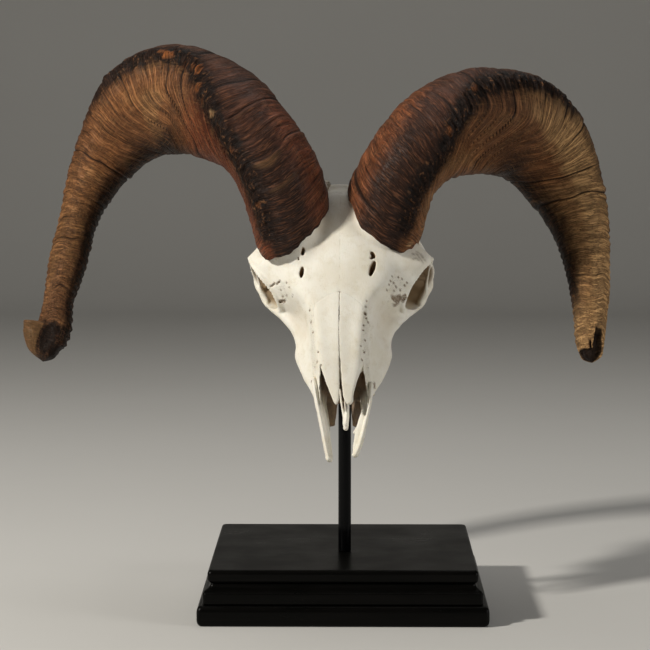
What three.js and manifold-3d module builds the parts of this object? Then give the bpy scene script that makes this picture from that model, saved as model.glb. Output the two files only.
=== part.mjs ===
// Ram skull with both horns, carried on a post over a moulded plinth.
// Millimetres. +Z up, +X across the horns, +Y from the face towards the poll.
// The origin is the centre of the plinth's underside, on the floor.
import * as THREE from 'three';
import { LoftGeometry } from 'three/addons/geometries/LoftGeometry.js';
import { mergeVertices } from 'three/addons/utils/BufferGeometryUtils.js';
import Module from 'manifold-3d';

const wasm = await Module();
wasm.setup();

// ---------------------------------------------------------------- driving dimensions
const fitGap = 0.35; // clearance between pieces that meet

const plinth = {
  baseHalf: 110, // half side of the base board
  stepHalf: 105.7, // half side of the middle step
  neckHalf: 100, // half side at the neck under the top board
  topHalf: 102.1, // half side of the top board's nosing
  baseTop: 15.6, // heights above the floor
  stepTop: 25,
  neckTop: 31.4,
  top: 41.7,
};

const post = { radius: 5, x: 1, y: -22, top: 232 };

// The skull has its own frame: x across, a from the premaxilla tips up to the poll,
// n out of the forehead. The face leans back, turns a little about its own length and
// tips a little to one side.
const skull = {
  originX: -1.6,
  originY: -92,
  originZ: 130,
  leanBack: THREE.MathUtils.degToRad(28),
  turn: THREE.MathUtils.degToRad(-3.5),
  tip: THREE.MathUtils.degToRad(-0.7),
  tipHeight: -24, // n of the premaxilla tips
  nasalTip: 42, // a of the nasal bones' free ends
  nasalEnd: 122, // a where the nasal bones meet the frontals
};

// Rim of an eye socket: x, a and n of spots round it, from its upper back corner
// down round the outside and back up along the brow.
const socketRim = [
  [71.6, 165.5, -13],
  [69.6, 161.5, -28],
  [67, 154, -38],
  [62, 141.8, -47],
  [54, 133, -43],
  [48, 128.5, -30],
  [48, 130, -18],
  [52.5, 138.5, -8],
  [60, 147.5, -5],
  [67, 158.5, -9],
];
const socket = { x: 60, a: 147.5, n: -27.5, halfX: 30, halfA: 16.5, halfN: 18.5 };
const socketWall = { x: 57, halfX: 15, halfA: 19.5, halfN: 21.5 }; // bone left round the socket

// Body of the skull at stations along a: half width, half width low down, n of the top,
// n of the widest level and n of the underside.
const bodyStations = [
  { a: 57, half: 23.5, low: 20, top: -5, wide: -24, base: -38 },
  { a: 70, half: 29.5, low: 25, top: 3, wide: -30, base: -47 },
  { a: 84, half: 35.5, low: 29, top: 9, wide: -35, base: -53 },
  { a: 95, half: 38, low: 30, top: 12, wide: -37, base: -56 },
  { a: 104, half: 36.3, low: 31, top: 14, wide: -36, base: -57 },
  { a: 114, half: 37, low: 32, top: 16, wide: -33, base: -58 },
  { a: 121, half: 39.5, low: 33, top: 17, wide: -30, base: -59 },
  { a: 127, half: 46.5, low: 34, top: 18, wide: -26, base: -60 },
  { a: 133, half: 51, low: 34, top: 19, wide: -20, base: -61 },
  { a: 140, half: 55, low: 34, top: 20, wide: -13, base: -62 },
  { a: 148, half: 60, low: 34, top: 20.3, wide: -9, base: -63 },
  { a: 158, half: 66, low: 34, top: 19.3, wide: -9, base: -65 },
  { a: 166, half: 67, low: 34, top: 18.4, wide: -10, base: -66 },
  { a: 173, half: 62, low: 34, top: 17.4, wide: -9, base: -68 },
  { a: 182, half: 54, low: 34, top: 15.6, wide: -13, base: -70 },
  { a: 194, half: 44, low: 37, top: 14.5, wide: -25, base: -74 },
  { a: 207, half: 39, low: 38, top: 13, wide: -36, base: -80 },
  { a: 218, half: 36, low: 35, top: 4, wide: -42, base: -84 },
  { a: 228, half: 32, low: 31, top: -16, wide: -48, base: -84 },
  { a: 236, half: 24, low: 20, top: -40, wide: -56, base: -80 },
];

// Horn centre lines with half widths across the view (wide) and front to back (deep).
const hornLeft = {
  side: -1,
  stations: [
    { x: -41, y: 2, z: 299, wide: 32, deep: 44 },
    { x: -54.3, y: -2, z: 340.3, wide: 32.7, deep: 43 },
    { x: -68.9, y: 6, z: 361.1, wide: 32.8, deep: 42 },
    { x: -87.5, y: 21, z: 378.8, wide: 37.5, deep: 40 },
    { x: -103.2, y: 36, z: 388.1, wide: 40.3, deep: 38 },
    { x: -122.5, y: 50, z: 394.7, wide: 42.9, deep: 36 },
    { x: -159.2, y: 72, z: 386.8, wide: 41.8, deep: 33 },
    { x: -184.9, y: 84, z: 361, wide: 30.6, deep: 29 },
    { x: -203.5, y: 83, z: 330.1, wide: 22.1, deep: 25 },
    { x: -216.2, y: 70, z: 294, wide: 15.2, deep: 20 },
    { x: -223.5, y: 50, z: 258.1, wide: 14.5, deep: 16.5 },
    { x: -229.2, y: 33, z: 226.2, wide: 12, deep: 14 },
    { x: -235, y: 26, z: 213, wide: 17, deep: 14 },
    { x: -236, y: 22, z: 202, wide: 13.5, deep: 13 },
    { x: -239.5, y: 18, z: 187, wide: 6, deep: 7 },
  ],
};
const hornRight = {
  side: 1,
  stations: [
    { x: 34, y: 8, z: 308, wide: 33.5, deep: 44 },
    { x: 47.9, y: 3, z: 342, wide: 32.1, deep: 43 },
    { x: 70.7, y: 12, z: 365.4, wide: 36.2, deep: 41 },
    { x: 94.8, y: 30, z: 376.7, wide: 41, deep: 38 },
    { x: 118.1, y: 50, z: 378, wide: 42.2, deep: 36 },
    { x: 144.2, y: 70, z: 370.4, wide: 42.6, deep: 34 },
    { x: 164.1, y: 83, z: 350.6, wide: 38, deep: 31 },
    { x: 177.2, y: 85, z: 328.3, wide: 32.4, deep: 28 },
    { x: 189.1, y: 76, z: 299.5, wide: 25.4, deep: 24 },
    { x: 195.2, y: 60, z: 266.9, wide: 19.1, deep: 20 },
    { x: 197, y: 43, z: 238, wide: 15.4, deep: 16 },
    { x: 196.5, y: 32, z: 216, wide: 12.6, deep: 13.5 },
    { x: 196, y: 24, z: 200, wide: 11, deep: 12 },
    { x: 197.5, y: 19, z: 186, wide: 7, deep: 8 },
  ],
};
const hornBase = { slantOut: 9, slantBack: 17, fade: 5, pedicle: 34, pedicleScale: 0.9 };

const rings = { horn: 14, hornSteps: 25, body: 20, tube: 7 };

// ---------------------------------------------------------------- materials
const boneMaterial = new THREE.MeshStandardMaterial({ color: 0xe6e2d2, roughness: 0.62, metalness: 0 });
const hornMaterial = new THREE.MeshStandardMaterial({ color: 0x6b4226, roughness: 0.55, metalness: 0 });
const woodMaterial = new THREE.MeshStandardMaterial({ color: 0x0b0b0c, roughness: 0.35, metalness: 0 });
const postMaterial = new THREE.MeshStandardMaterial({ color: 0x0d0d0f, roughness: 0.3, metalness: 0.6 });

// ---------------------------------------------------------------- solids and meshes
// A skin through the sections. Each section runs counter-clockwise as seen from the
// loft's end, so one that runs the other way is turned round first.
function loft(sections, caps = true) {
  const heading = middle(sections[1]).sub(middle(sections[0]));
  const forwards = sectionNormal(sections[0]).dot(heading) > 0;
  const ordered = forwards ? sections : sections.map((section) => [...section].reverse());
  return new LoftGeometry(ordered, { capStart: caps, capEnd: caps });
}

function middle(section) {
  return section.reduce((sum, spot) => sum.add(spot), new THREE.Vector3()).divideScalar(section.length);
}

function sectionNormal(section) {
  const centre = middle(section);
  return section.reduce((sum, spot, i) => {
    const next = section[(i + 1) % section.length];
    return sum.add(spot.clone().sub(centre).cross(next.clone().sub(centre)));
  }, new THREE.Vector3());
}

function solid(geometry) {
  const plain = new THREE.BufferGeometry().copy(geometry);
  plain.deleteAttribute('normal');
  plain.deleteAttribute('uv');
  const welded = mergeVertices(plain, 1e-3);
  return new wasm.Manifold(
    new wasm.Mesh({
      numProp: 3,
      vertProperties: welded.getAttribute('position').array,
      triVerts: new Uint32Array(welded.getIndex().array),
    }),
  );
}

function meshOf(name, body, material) {
  const cut = body.getMesh();
  const geometry = new THREE.BufferGeometry();
  const place = new THREE.Float32BufferAttribute(cut.vertProperties, cut.numProp);
  geometry.setAttribute('position', place);
  geometry.setIndex(new THREE.BufferAttribute(cut.triVerts, 1));
  geometry.computeVertexNormals();
  const mesh = new THREE.Mesh(geometry, material);
  mesh.name = name;
  return mesh;
}

function joined(bodies) {
  return bodies.reduce((whole, body) => whole.add(body));
}

// ---------------------------------------------------------------- the skull's own frame
const along = new THREE.Vector3(0, Math.sin(skull.leanBack), Math.cos(skull.leanBack));
const outward = new THREE.Vector3(0, -Math.cos(skull.leanBack), Math.sin(skull.leanBack));
const across = new THREE.Vector3(1, 0, 0);
across.applyAxisAngle(along, skull.turn);
outward.applyAxisAngle(along, skull.turn);
for (const axis of [along, outward]) axis.applyAxisAngle(new THREE.Vector3(0, 1, 0), skull.tip);
across.setZ(0).normalize(); // both sockets stand at one height
const skullOrigin = new THREE.Vector3(skull.originX, skull.originY, skull.originZ);

function skullPoint(x, a, n) {
  return skullOrigin.clone().addScaledVector(across, x).addScaledVector(along, a).addScaledVector(outward, n);
}

const skullFrame = new THREE.Matrix4().makeBasis(across, along, outward).setPosition(skullOrigin);

// An ellipsoid at a place in the skull's frame, with its three half sizes.
function lump(x, a, n, halfX, halfA, halfN, segments = 10) {
  const ball = new THREE.SphereGeometry(1, segments, Math.round(segments * 0.7));
  ball.scale(halfX, halfA, halfN).translate(x, a, n).applyMatrix4(skullFrame);
  return solid(ball);
}

function block(x, a, n, sizeX, sizeA, sizeN, tilt = 0) {
  const box = new THREE.BoxGeometry(sizeX, sizeA, sizeN);
  box.rotateY(tilt).translate(x, a, n).applyMatrix4(skullFrame);
  return solid(box);
}

// A smooth tube through stations in the skull's frame. Each station is
// [x, a, n, half size across, half size along n].
function strut(stations, steps = 6, segments = rings.tube) {
  const line = new THREE.CatmullRomCurve3(stations.map((s) => skullPoint(s[0], s[1], s[2])));
  const sizes = new THREE.CatmullRomCurve3(stations.map((s) => new THREE.Vector3(s[3], s[4], 0)));
  const reach = line.getPoint(1).sub(line.getPoint(0)).normalize();
  const reference = Math.abs(reach.dot(outward)) > 0.8 ? along : outward;
  const sections = [];
  for (let i = 0; i <= steps; i++) {
    const t = i / steps;
    const heading = line.getTangent(t);
    const side = heading.clone().cross(reference).normalize();
    const up = side.clone().cross(heading).normalize();
    const size = sizes.getPoint(t);
    sections.push(ellipse(line.getPoint(t), side, up, size.x, size.y, segments));
  }
  return solid(loft(sections));
}

function ellipse(centre, u, v, halfU, halfV, segments) {
  return Array.from({ length: segments }, (_, i) => {
    const angle = (2 * Math.PI * i) / segments;
    const spot = centre.clone().addScaledVector(u, halfU * Math.cos(angle));
    return spot.addScaledVector(v, halfV * Math.sin(angle));
  });
}

// ---------------------------------------------------------------- body of the skull
// One ring of the face and braincase: a broad roof, sides that lean out to the widest
// level and a narrower underside.
function bodyRing(station) {
  const { a, half, low, top, wide, base } = station;
  return Array.from({ length: rings.body }, (_, i) => {
    const angle = (2 * Math.PI * i) / rings.body;
    const c = Math.cos(angle);
    const s = Math.sin(angle);
    const pinch = s > 0 ? 1 : 1 - (1 - low / half) * Math.sqrt(-s);
    const x = half * pinch * Math.sign(c) * Math.abs(c) ** (s > 0 ? 0.95 : 0.7);
    const n = s > 0 ? wide + (top - wide) * s ** 0.85 : wide - (wide - base) * Math.abs(s) ** 0.75;
    return skullPoint(x, a, n);
  });
}

// The value of one size at a, on a straight line between its two stations.
function bodySize(a, size) {
  const next = bodyStations.findIndex((station) => station.a >= a);
  const low = bodyStations[Math.max(next - 1, 0)];
  const high = bodyStations[next];
  const share = high.a === low.a ? 0 : (a - low.a) / (high.a - low.a);
  return low[size] + (high[size] - low[size]) * share;
}

function skullBody() {
  return solid(loft(bodyStations.map(bodyRing)));
}

// Rim of one eye socket: a closed ring of bone through the rim's spots.
function orbitRim(side) {
  const steps = 13;
  const line = new THREE.CatmullRomCurve3(socketRim.map(([x, a, n]) => skullPoint(side * x, a, n)), true);
  const centre = skullPoint(side * 59, socket.a, socket.n);
  const sections = [];
  for (let i = 0; i <= steps; i++) {
    const spot = line.getPoint((i % steps) / steps);
    const heading = line.getTangent((i % steps) / steps);
    const spoke = spot.clone().sub(centre).cross(heading).cross(heading).negate().normalize();
    const flat = heading.clone().cross(spoke).normalize();
    sections.push(ellipse(spot, spoke, flat, 2.2, 3, 6));
  }
  return solid(loft(sections, false));
}

function orbitSocket(side) {
  return lump(side * socket.x, socket.a, socket.n, socket.halfX, socket.halfA, socket.halfN, 10);
}

// The lump of bone that a socket is hollowed out of.
function orbitWall(side) {
  return lump(side * socketWall.x, socket.a, socket.n, socketWall.halfX, socketWall.halfA, socketWall.halfN, 7);
}

// Brow over the socket, out to its corner, and the cheek bone below it.
function browAndCheek(side) {
  return [
    strut([
      [side * 30, 161, 5, 20, 9],
      [side * 50, 157, -1, 16, 6],
      [side * 62, 160, -6.5, 9, 4],
      [side * 70, 165, -12, 3.5, 3],
    ]),
    strut([
      [side * 28, 98, -39, 8, 9],
      [side * 32, 114, -40, 7, 7],
      [side * 42, 126, -42, 5.5, 6],
      [side * 55, 136, -45.5, 4, 4.5],
      [side * 64, 149, -45.5, 3.2, 4.5],
      [side * 67, 165, -46, 3, 5],
      [side * 64, 186, -50, 3, 4.5],
      [side * 53, 205, -52, 4, 5],
      [side * 38, 216, -54, 6, 8],
    ], 7),
  ];
}

// Tooth row: six cheek teeth, growing towards the back.
function teeth(side) {
  return Array.from({ length: 6 }, (_, i) => {
    const length = 8 + 1.3 * i;
    const a = 70 + 9 * i + 0.65 * i * i;
    const root = bodySize(a, 'base') + 6;
    return block(side * (18 + 1.4 * i), a, root - 13, 9 + 0.8 * i, length, 26, side * 0.1);
  });
}

// Back of the skull: nuchal crest, condyles, ear bones and the base between them.
function occiput() {
  const bodies = [
    lump(0, 204, -42, 38, 31, 39),
    lump(0, 233, -52, 30, 8, 22),
    lump(0, 216, -84, 15, 26, 10),
  ];
  for (const side of [-1, 1]) {
    bodies.push(lump(side * 13, 234, -91, 8.5, 11, 11, 8));
    bodies.push(lump(side * 25, 211, -84, 9, 13, 12, 8));
    bodies.push(strut([[side * 30, 224, -78, 6, 5], [side * 28, 226, -96, 4, 4], [side * 25, 226, -108, 2, 2]], 4, 8));
  }
  return bodies;
}

// Bone pedicle under one horn, a slightly slimmer run of the horn's own section.
function pedicle(horn) {
  const steps = 5;
  const sections = [];
  for (let i = 0; i <= steps; i++) {
    const depth = hornBase.pedicle * (1 - i / steps);
    sections.push(hornRing(horn, 0, hornBase.pedicleScale - 0.004 * depth, -depth));
  }
  return solid(loft(sections));
}

// The hollow nose, open in front and out through the underside of the snout.
function noseHollow() {
  const sizes = [
    { a: 40, half: 17, high: 16, n: -21 },
    { a: 60, half: 18, high: 15, n: -20 },
    { a: 75, half: 20, high: 14, n: -16 },
    { a: 92, half: 18, high: 13, n: -14 },
    { a: 108, half: 11, high: 9, n: -14 },
  ];
  return solid(loft(sizes.map((s) => ellipse(skullPoint(0, s.a, s.n), across, outward, s.half, s.high, 12))));
}

// Notch between the nasal bones and the maxilla, pointing up the face.
function nasalNotch(side) {
  return strut([
    [side * 12, 46, -6, 7, 12],
    [side * 13.5, 56, -2, 4.2, 12],
    [side * 16.5, 70, 2, 1.1, 9],
  ], 6, 8);
}

// One nasal bone: a curved plate beside the mid line, tapering to a free tip.
function nasalRing(side, a, grow) {
  const share = (a - skull.nasalTip) / (skull.nasalEnd - skull.nasalTip);
  const half = 4 + 15 * Math.sin(Math.min(1, share * 1.9) * Math.PI * 0.5) - 4 * share ** 3;
  const top = a < 58 ? -5 - 0.75 * (58 - a) * 0.35 : bodySize(a, 'top');
  const points = 5;
  const thick = 3.6;
  const section = [];
  for (let i = 0; i < points; i++) {
    const x = fitGap + (half - fitGap) * (i / (points - 1));
    section.push([x, top + 0.5 - 0.014 * x * x]);
  }
  for (let i = points - 1; i >= 0; i--) {
    const [x, n] = section[i];
    section.push([x, n - thick]);
  }
  return section.map(([x, n], i) => {
    const out = i < points ? grow : -grow;
    const wider = (i % points === 0 || i === points || i === points - 1 ? 1 : 0) * grow;
    const edge = x < 1 ? -wider : wider;
    return skullPoint(side * (x + edge), a, n + out);
  });
}

function nasalBone(side, grow = 0) {
  const steps = 8;
  const sections = [];
  for (let i = 0; i <= steps; i++) {
    const a = skull.nasalTip + ((skull.nasalEnd - skull.nasalTip) * i) / steps;
    const shift = i === steps ? grow : 0;
    sections.push(nasalRing(side, a + shift, grow));
  }
  return solid(loft(sections));
}

// One premaxilla: a slim rod from the snout to its tip, with a thin inner plate.
function premaxilla(side, grow = 0) {
  const tipX = side < 0 ? -10.6 : 8.4;
  const tipA = side < 0 ? 0 : 4.2;
  const rod = strut([
    [side * 21.4, 62 + grow, -18, 2.9 + grow, 6.5 + grow],
    [side * 19.6, 50, -19, 3, 6.5 + grow],
    [side * 17.4, 38, -20.5, 2.9, 6],
    [side * 14.6, 23, -22, 2.8, 5],
    [side * 12.4, 12, -23.3, 2.8, 3.8],
    [tipX + side * 0.6, tipA + 5, -24, 2.7, 3],
    [tipX, tipA, skull.tipHeight, 1.9, 2.2],
  ], 9);
  const plate = strut([
    [side * 16.5, 42, -25, 2, 3.5],
    [side * 12.5, 32, -26.5, 2.5, 2],
    [side * 10.5, 20, -26, 2.5, 1.6],
    [side * 10, 9, -25, 1.8, 1.4],
  ], 5, 6);
  return rod.add(plate);
}

// ---------------------------------------------------------------- horns
function hornCurve(horn) {
  const spots = horn.stations.map((s) => new THREE.Vector3(s.x, s.y, s.z));
  return new THREE.CatmullRomCurve3(spots, false, 'centripetal');
}

// One ring across a horn at share t of its length. Its plane slants near the base and
// turns square to the horn further out. A negative shift carries it down the axis.
function hornRing(horn, t, scale = 1, shift = 0) {
  const curve = hornCurve(horn);
  const sizes = new THREE.CatmullRomCurve3(horn.stations.map((s) => new THREE.Vector3(s.wide, s.deep, 0)));
  const centre = curve.getPoint(t);
  const heading = curve.getTangent(t);
  const size = sizes.getPoint(t);
  const back = new THREE.Vector3(0, 1, 0).addScaledVector(heading, -heading.y).normalize();
  const outer = heading.clone().cross(back).multiplyScalar(horn.side);
  const slant = (1 - t) ** hornBase.fade;
  return Array.from({ length: rings.horn }, (_, i) => {
    const angle = (2 * Math.PI * i) / rings.horn;
    const c = Math.cos(angle);
    const s = Math.sin(angle);
    const keel = 1 + 0.035 * Math.cos(3 * (angle - keelAngle(t)));
    const slide = shift + slant * (hornBase.slantOut * c + hornBase.slantBack * s);
    const spot = centre.clone().addScaledVector(outer, size.x * c * keel * scale);
    spot.addScaledVector(back, size.y * s * keel * scale);
    return spot.addScaledVector(heading, slide);
  });
}

// The keel starts on the face side of the horn and winds round to its outer edge.
function keelAngle(t) {
  const turn = THREE.MathUtils.smoothstep(t, 0.12, 0.6);
  return THREE.MathUtils.degToRad(-128 + 128 * turn);
}

function hornSolid(horn, scale = 1, startShift = 0) {
  const sections = [];
  for (let i = 0; i <= rings.hornSteps; i++) {
    sections.push(hornRing(horn, i / rings.hornSteps, scale, i === 0 ? startShift : 0));
  }
  return solid(loft(sections));
}

// ---------------------------------------------------------------- cranium
function cranium() {
  const bone = [skullBody(), ...occiput()];
  for (const side of [-1, 1]) bone.push(...browAndCheek(side), orbitWall(side));
  let body = joined(bone);
  body = body.subtract(orbitSocket(-1)).subtract(orbitSocket(1));
  body = joined([body, orbitRim(-1), orbitRim(1), pedicle(hornLeft), pedicle(hornRight), ...teeth(-1), ...teeth(1)]);
  const cuts = [
    noseHollow(),
    nasalNotch(-1),
    nasalNotch(1),
    nasalBone(-1, fitGap),
    nasalBone(1, fitGap),
    premaxilla(-1, fitGap),
    premaxilla(1, fitGap),
    lump(0, 96, -70, 12, 42, 17),
    lump(0, 158, -76, 13, 30, 17),
    lump(0, 240, -82, 10, 22, 9),
    hornSolid(hornLeft, 1.012, -fitGap * 1.6),
    hornSolid(hornRight, 1.012, -fitGap * 1.6),
  ];
  for (const cut of cuts) body = body.subtract(cut);
  return body.add(vomer()).subtract(postBar(post.radius + fitGap, post.top + 1));
}

// Thin process on the mid line of the nose's floor, in front of the post.
function vomer() {
  return strut([
    [0.5, 92, -26, 2, 4],
    [0.8, 70, -26, 2, 4],
    [1.2, 50, -24, 2, 4],
    [1.8, 36, -24, 2.6, 3],
    [2.2, 27.5, -25, 2, 2],
  ], 8, 8);
}

// ---------------------------------------------------------------- stand
function postBar(radius, top) {
  const length = top - plinth.top;
  const bar = new THREE.CylinderGeometry(radius, radius, length, 20);
  bar.rotateX(Math.PI / 2).translate(post.x, post.y, plinth.top + length / 2);
  return solid(bar);
}

// A square board with round corners, carried up through [half side, height] stations.
function board(profile) {
  const cornerSteps = 3;
  const sections = profile.map(([half, z]) => {
    const radius = half * 0.03;
    const section = [];
    for (let corner = 0; corner < 4; corner++) {
      for (let i = 0; i <= cornerSteps; i++) {
        const angle = (Math.PI / 2) * (corner + i / cornerSteps);
        const midX = (half - radius) * (corner === 0 || corner === 3 ? 1 : -1);
        const midY = (half - radius) * (corner < 2 ? 1 : -1);
        section.push(new THREE.Vector3(midX + radius * Math.cos(angle), midY + radius * Math.sin(angle), z));
      }
    }
    return section;
  });
  return solid(loft(sections));
}

// Half-round edge: stations that bulge from one height to the next.
function roundEdge(half, low, high, bulge, steps = 5) {
  return Array.from({ length: steps + 1 }, (_, i) => {
    const angle = Math.PI * (i / steps - 0.5);
    const z = (low + high) / 2 + ((high - low) / 2) * Math.sin(angle);
    return [half - bulge * (1 - Math.cos(angle)), z];
  });
}

function stand() {
  const { baseHalf, stepHalf, neckHalf, topHalf, baseTop, stepTop, neckTop, top } = plinth;
  const base = board(roundEdge(baseHalf, 0, baseTop, 2.4));
  const coveSteps = 4;
  const cove = Array.from({ length: coveSteps + 1 }, (_, i) => {
    const share = i / coveSteps;
    const half = neckHalf + (stepHalf - 1.4 - neckHalf) * (1 - share) ** 2;
    return [half, stepTop + 1 + (neckTop - stepTop - 1) * share];
  });
  const step = board([[stepHalf - 0.4, baseTop], [stepHalf, baseTop + 0.6], [stepHalf, stepTop], ...cove]);
  const cap = board(roundEdge(topHalf, neckTop, top, 1.7));
  return [
    meshOf('stand_base_board', base, woodMaterial),
    meshOf('stand_middle_step', step, woodMaterial),
    meshOf('stand_top_board', cap, woodMaterial),
    meshOf('stand_post', postBar(post.radius, post.top), postMaterial),
  ];
}

// ---------------------------------------------------------------- the whole object
function skullPieces() {
  const head = cranium();
  const pieces = [meshOf('cranium', head, boneMaterial)];
  for (const side of [-1, 1]) {
    const word = side < 0 ? 'left' : 'right';
    const horn = side < 0 ? hornLeft : hornRight;
    pieces.push(meshOf(`nasal_${word}`, nasalBone(side), boneMaterial));
    pieces.push(meshOf(`premaxilla_${word}`, premaxilla(side), boneMaterial));
    pieces.push(meshOf(`horn_${word}`, hornSolid(horn), hornMaterial));
  }
  return pieces;
}

const ramSkull = new THREE.Group();
ramSkull.add(...stand(), ...skullPieces());

export default ramSkull;
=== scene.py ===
import math
import bpy
import numpy as np
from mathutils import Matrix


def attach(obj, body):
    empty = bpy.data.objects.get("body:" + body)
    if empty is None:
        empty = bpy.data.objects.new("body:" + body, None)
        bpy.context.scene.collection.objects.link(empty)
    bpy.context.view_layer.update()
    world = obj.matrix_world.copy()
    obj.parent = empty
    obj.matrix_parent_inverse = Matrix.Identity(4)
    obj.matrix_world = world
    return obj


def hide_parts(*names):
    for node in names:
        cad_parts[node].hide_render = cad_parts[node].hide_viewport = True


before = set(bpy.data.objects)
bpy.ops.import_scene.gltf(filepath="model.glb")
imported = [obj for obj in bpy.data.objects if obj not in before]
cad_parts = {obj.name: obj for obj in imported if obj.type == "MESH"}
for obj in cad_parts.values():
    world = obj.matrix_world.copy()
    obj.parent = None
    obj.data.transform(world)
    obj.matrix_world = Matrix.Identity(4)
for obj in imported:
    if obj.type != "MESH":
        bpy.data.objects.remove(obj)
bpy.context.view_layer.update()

import openvdb

mm = 0.001


# numbers
def smoothStep(low, high, x):
    # 0 below low, 1 above high, with an even ease between
    share = np.clip((x - low) / (high - low), 0.0, 1.0)
    return share * share * (3.0 - 2.0 * share)


def bell(x, width):
    return np.exp(-(x / width) ** 2)


def hashCell(ix, iy, iz, seed):
    # a whole number for each lattice corner, folded to -1..1
    mixed = ix * 374761393 + iy * 668265263 + iz * 2147483647 + seed * 974711
    mixed = (mixed ^ (mixed >> 13)) * 1274126177
    mixed = mixed ^ (mixed >> 16)
    return (mixed & 0xFFFF).astype(np.float64) / 32767.5 - 1.0


def cloud(x, y, z, seed=1):
    # smooth value noise: corner numbers blended by eased distances
    x, y, z = np.broadcast_arrays(x, y, z)
    ix, iy, iz = (np.floor(v).astype(np.int64) for v in (x, y, z))
    fx, fy, fz = x - ix, y - iy, z - iz
    fx, fy, fz = (f * f * (3.0 - 2.0 * f) for f in (fx, fy, fz))
    total = 0.0
    for dx, wx in ((0, 1.0 - fx), (1, fx)):
        for dy, wy in ((0, 1.0 - fy), (1, fy)):
            for dz, wz in ((0, 1.0 - fz), (1, fz)):
                total = total + wx * wy * wz * hashCell(ix + dx, iy + dy, iz + dz, seed)
    return total


def layeredCloud(x, y, z, seed=1, layers=3):
    # octaves of the same noise, each half as high and twice as fine
    total = 0.0
    for k in range(layers):
        total = total + cloud(x * 2 ** k, y * 2 ** k, z * 2 ** k, seed + 17 * k) / 2 ** k
    return total


def splineThrough(knots, values, at):
    # natural cubic spline: second slopes from one linear system, then the usual blend
    knots = np.asarray(knots, float)
    values = np.asarray(values, float)
    gaps = np.diff(knots)
    count = len(knots)
    system = np.eye(count)
    right = np.zeros_like(values)
    for i in range(1, count - 1):
        system[i, i - 1:i + 2] = gaps[i - 1], 2 * (gaps[i - 1] + gaps[i]), gaps[i]
        right[i] = 6 * ((values[i + 1] - values[i]) / gaps[i] - (values[i] - values[i - 1]) / gaps[i - 1])
    bend = np.linalg.solve(system, right)
    at = np.asarray(at, float)
    low = np.clip(np.searchsorted(knots, at) - 1, 0, count - 2)
    gap = gaps[low]
    b = (at - knots[low]) / gap
    a = 1.0 - b
    if values.ndim > 1:
        gap, a, b = gap[..., None], a[..., None], b[..., None]
    curve = (a ** 3 - a) * bend[low] + (b ** 3 - b) * bend[low + 1]
    return a * values[low] + b * values[low + 1] + curve * gap ** 2 / 6.0


# meshes
def addAttribute(mesh, name, values):
    values = np.asarray(values, np.float32)
    if values.ndim == 1:
        layer = mesh.attributes.new(name, "FLOAT", "POINT")
        layer.data.foreach_set("value", values)
    else:
        layer = mesh.attributes.new(name, "FLOAT_VECTOR", "POINT")
        layer.data.foreach_set("vector", values.reshape(-1))


def meshPiece(name, points, faces, material, attributes=None):
    mesh = bpy.data.meshes.new(name)
    mesh.from_pydata((points * mm).tolist(), [], faces)
    mesh.polygons.foreach_set("use_smooth", [True] * len(mesh.polygons))
    for key, values in (attributes or {}).items():
        addAttribute(mesh, key, values)
    mesh.materials.append(material)
    mesh.update()
    piece = bpy.data.objects.new(name, mesh)
    bpy.context.scene.collection.objects.link(piece)
    return piece


def gridFaces(rows, columns):
    # quads of a grid that is closed round its columns
    row = np.arange(rows - 1)[:, None]
    column = np.arange(columns)[None, :]
    nextColumn = (column + 1) % columns
    quads = [row * columns + column, row * columns + nextColumn,
             (row + 1) * columns + nextColumn, (row + 1) * columns + column]
    return np.stack([np.broadcast_to(q, (row.size, columns)) for q in quads], -1).reshape(-1, 4)


def cappedGrid(points):
    # a tube of rings with one more point at the middle of each end
    rows, columns = points.shape[:2]
    flat = points.reshape(-1, 3)
    ends = np.stack([points[0].mean(0), points[-1].mean(0)])
    faces = gridFaces(rows, columns).tolist()
    first, last = rows * columns, rows * columns + 1
    base = (rows - 1) * columns
    for j in range(columns):
        k = (j + 1) % columns
        faces.append((first, k, j))
        faces.append((last, base + j, base + k))
    return np.vstack([flat, ends]), faces


def facesOutward(points, faces):
    # turns every face round where the closed mesh would hold a negative volume
    triangles = np.array([face[:3] for face in faces] + [(f[0], f[2], f[3]) for f in faces if len(f) == 4])
    a, b, c = (points[triangles[:, k]] for k in range(3))
    volume = np.einsum("ij,ij->i", a, np.cross(b, c)).sum()
    return faces if volume > 0 else [tuple(reversed(face)) for face in faces]


def capValues(values):
    # attribute values of a grid, with those of the two end points added
    rows = values.reshape(values.shape[0], values.shape[1], -1)
    flat = rows.reshape(-1, rows.shape[2])
    both = np.vstack([flat, rows[0].mean(0), rows[-1].mean(0)])
    return both[:, 0] if values.ndim == 2 else both


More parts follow.
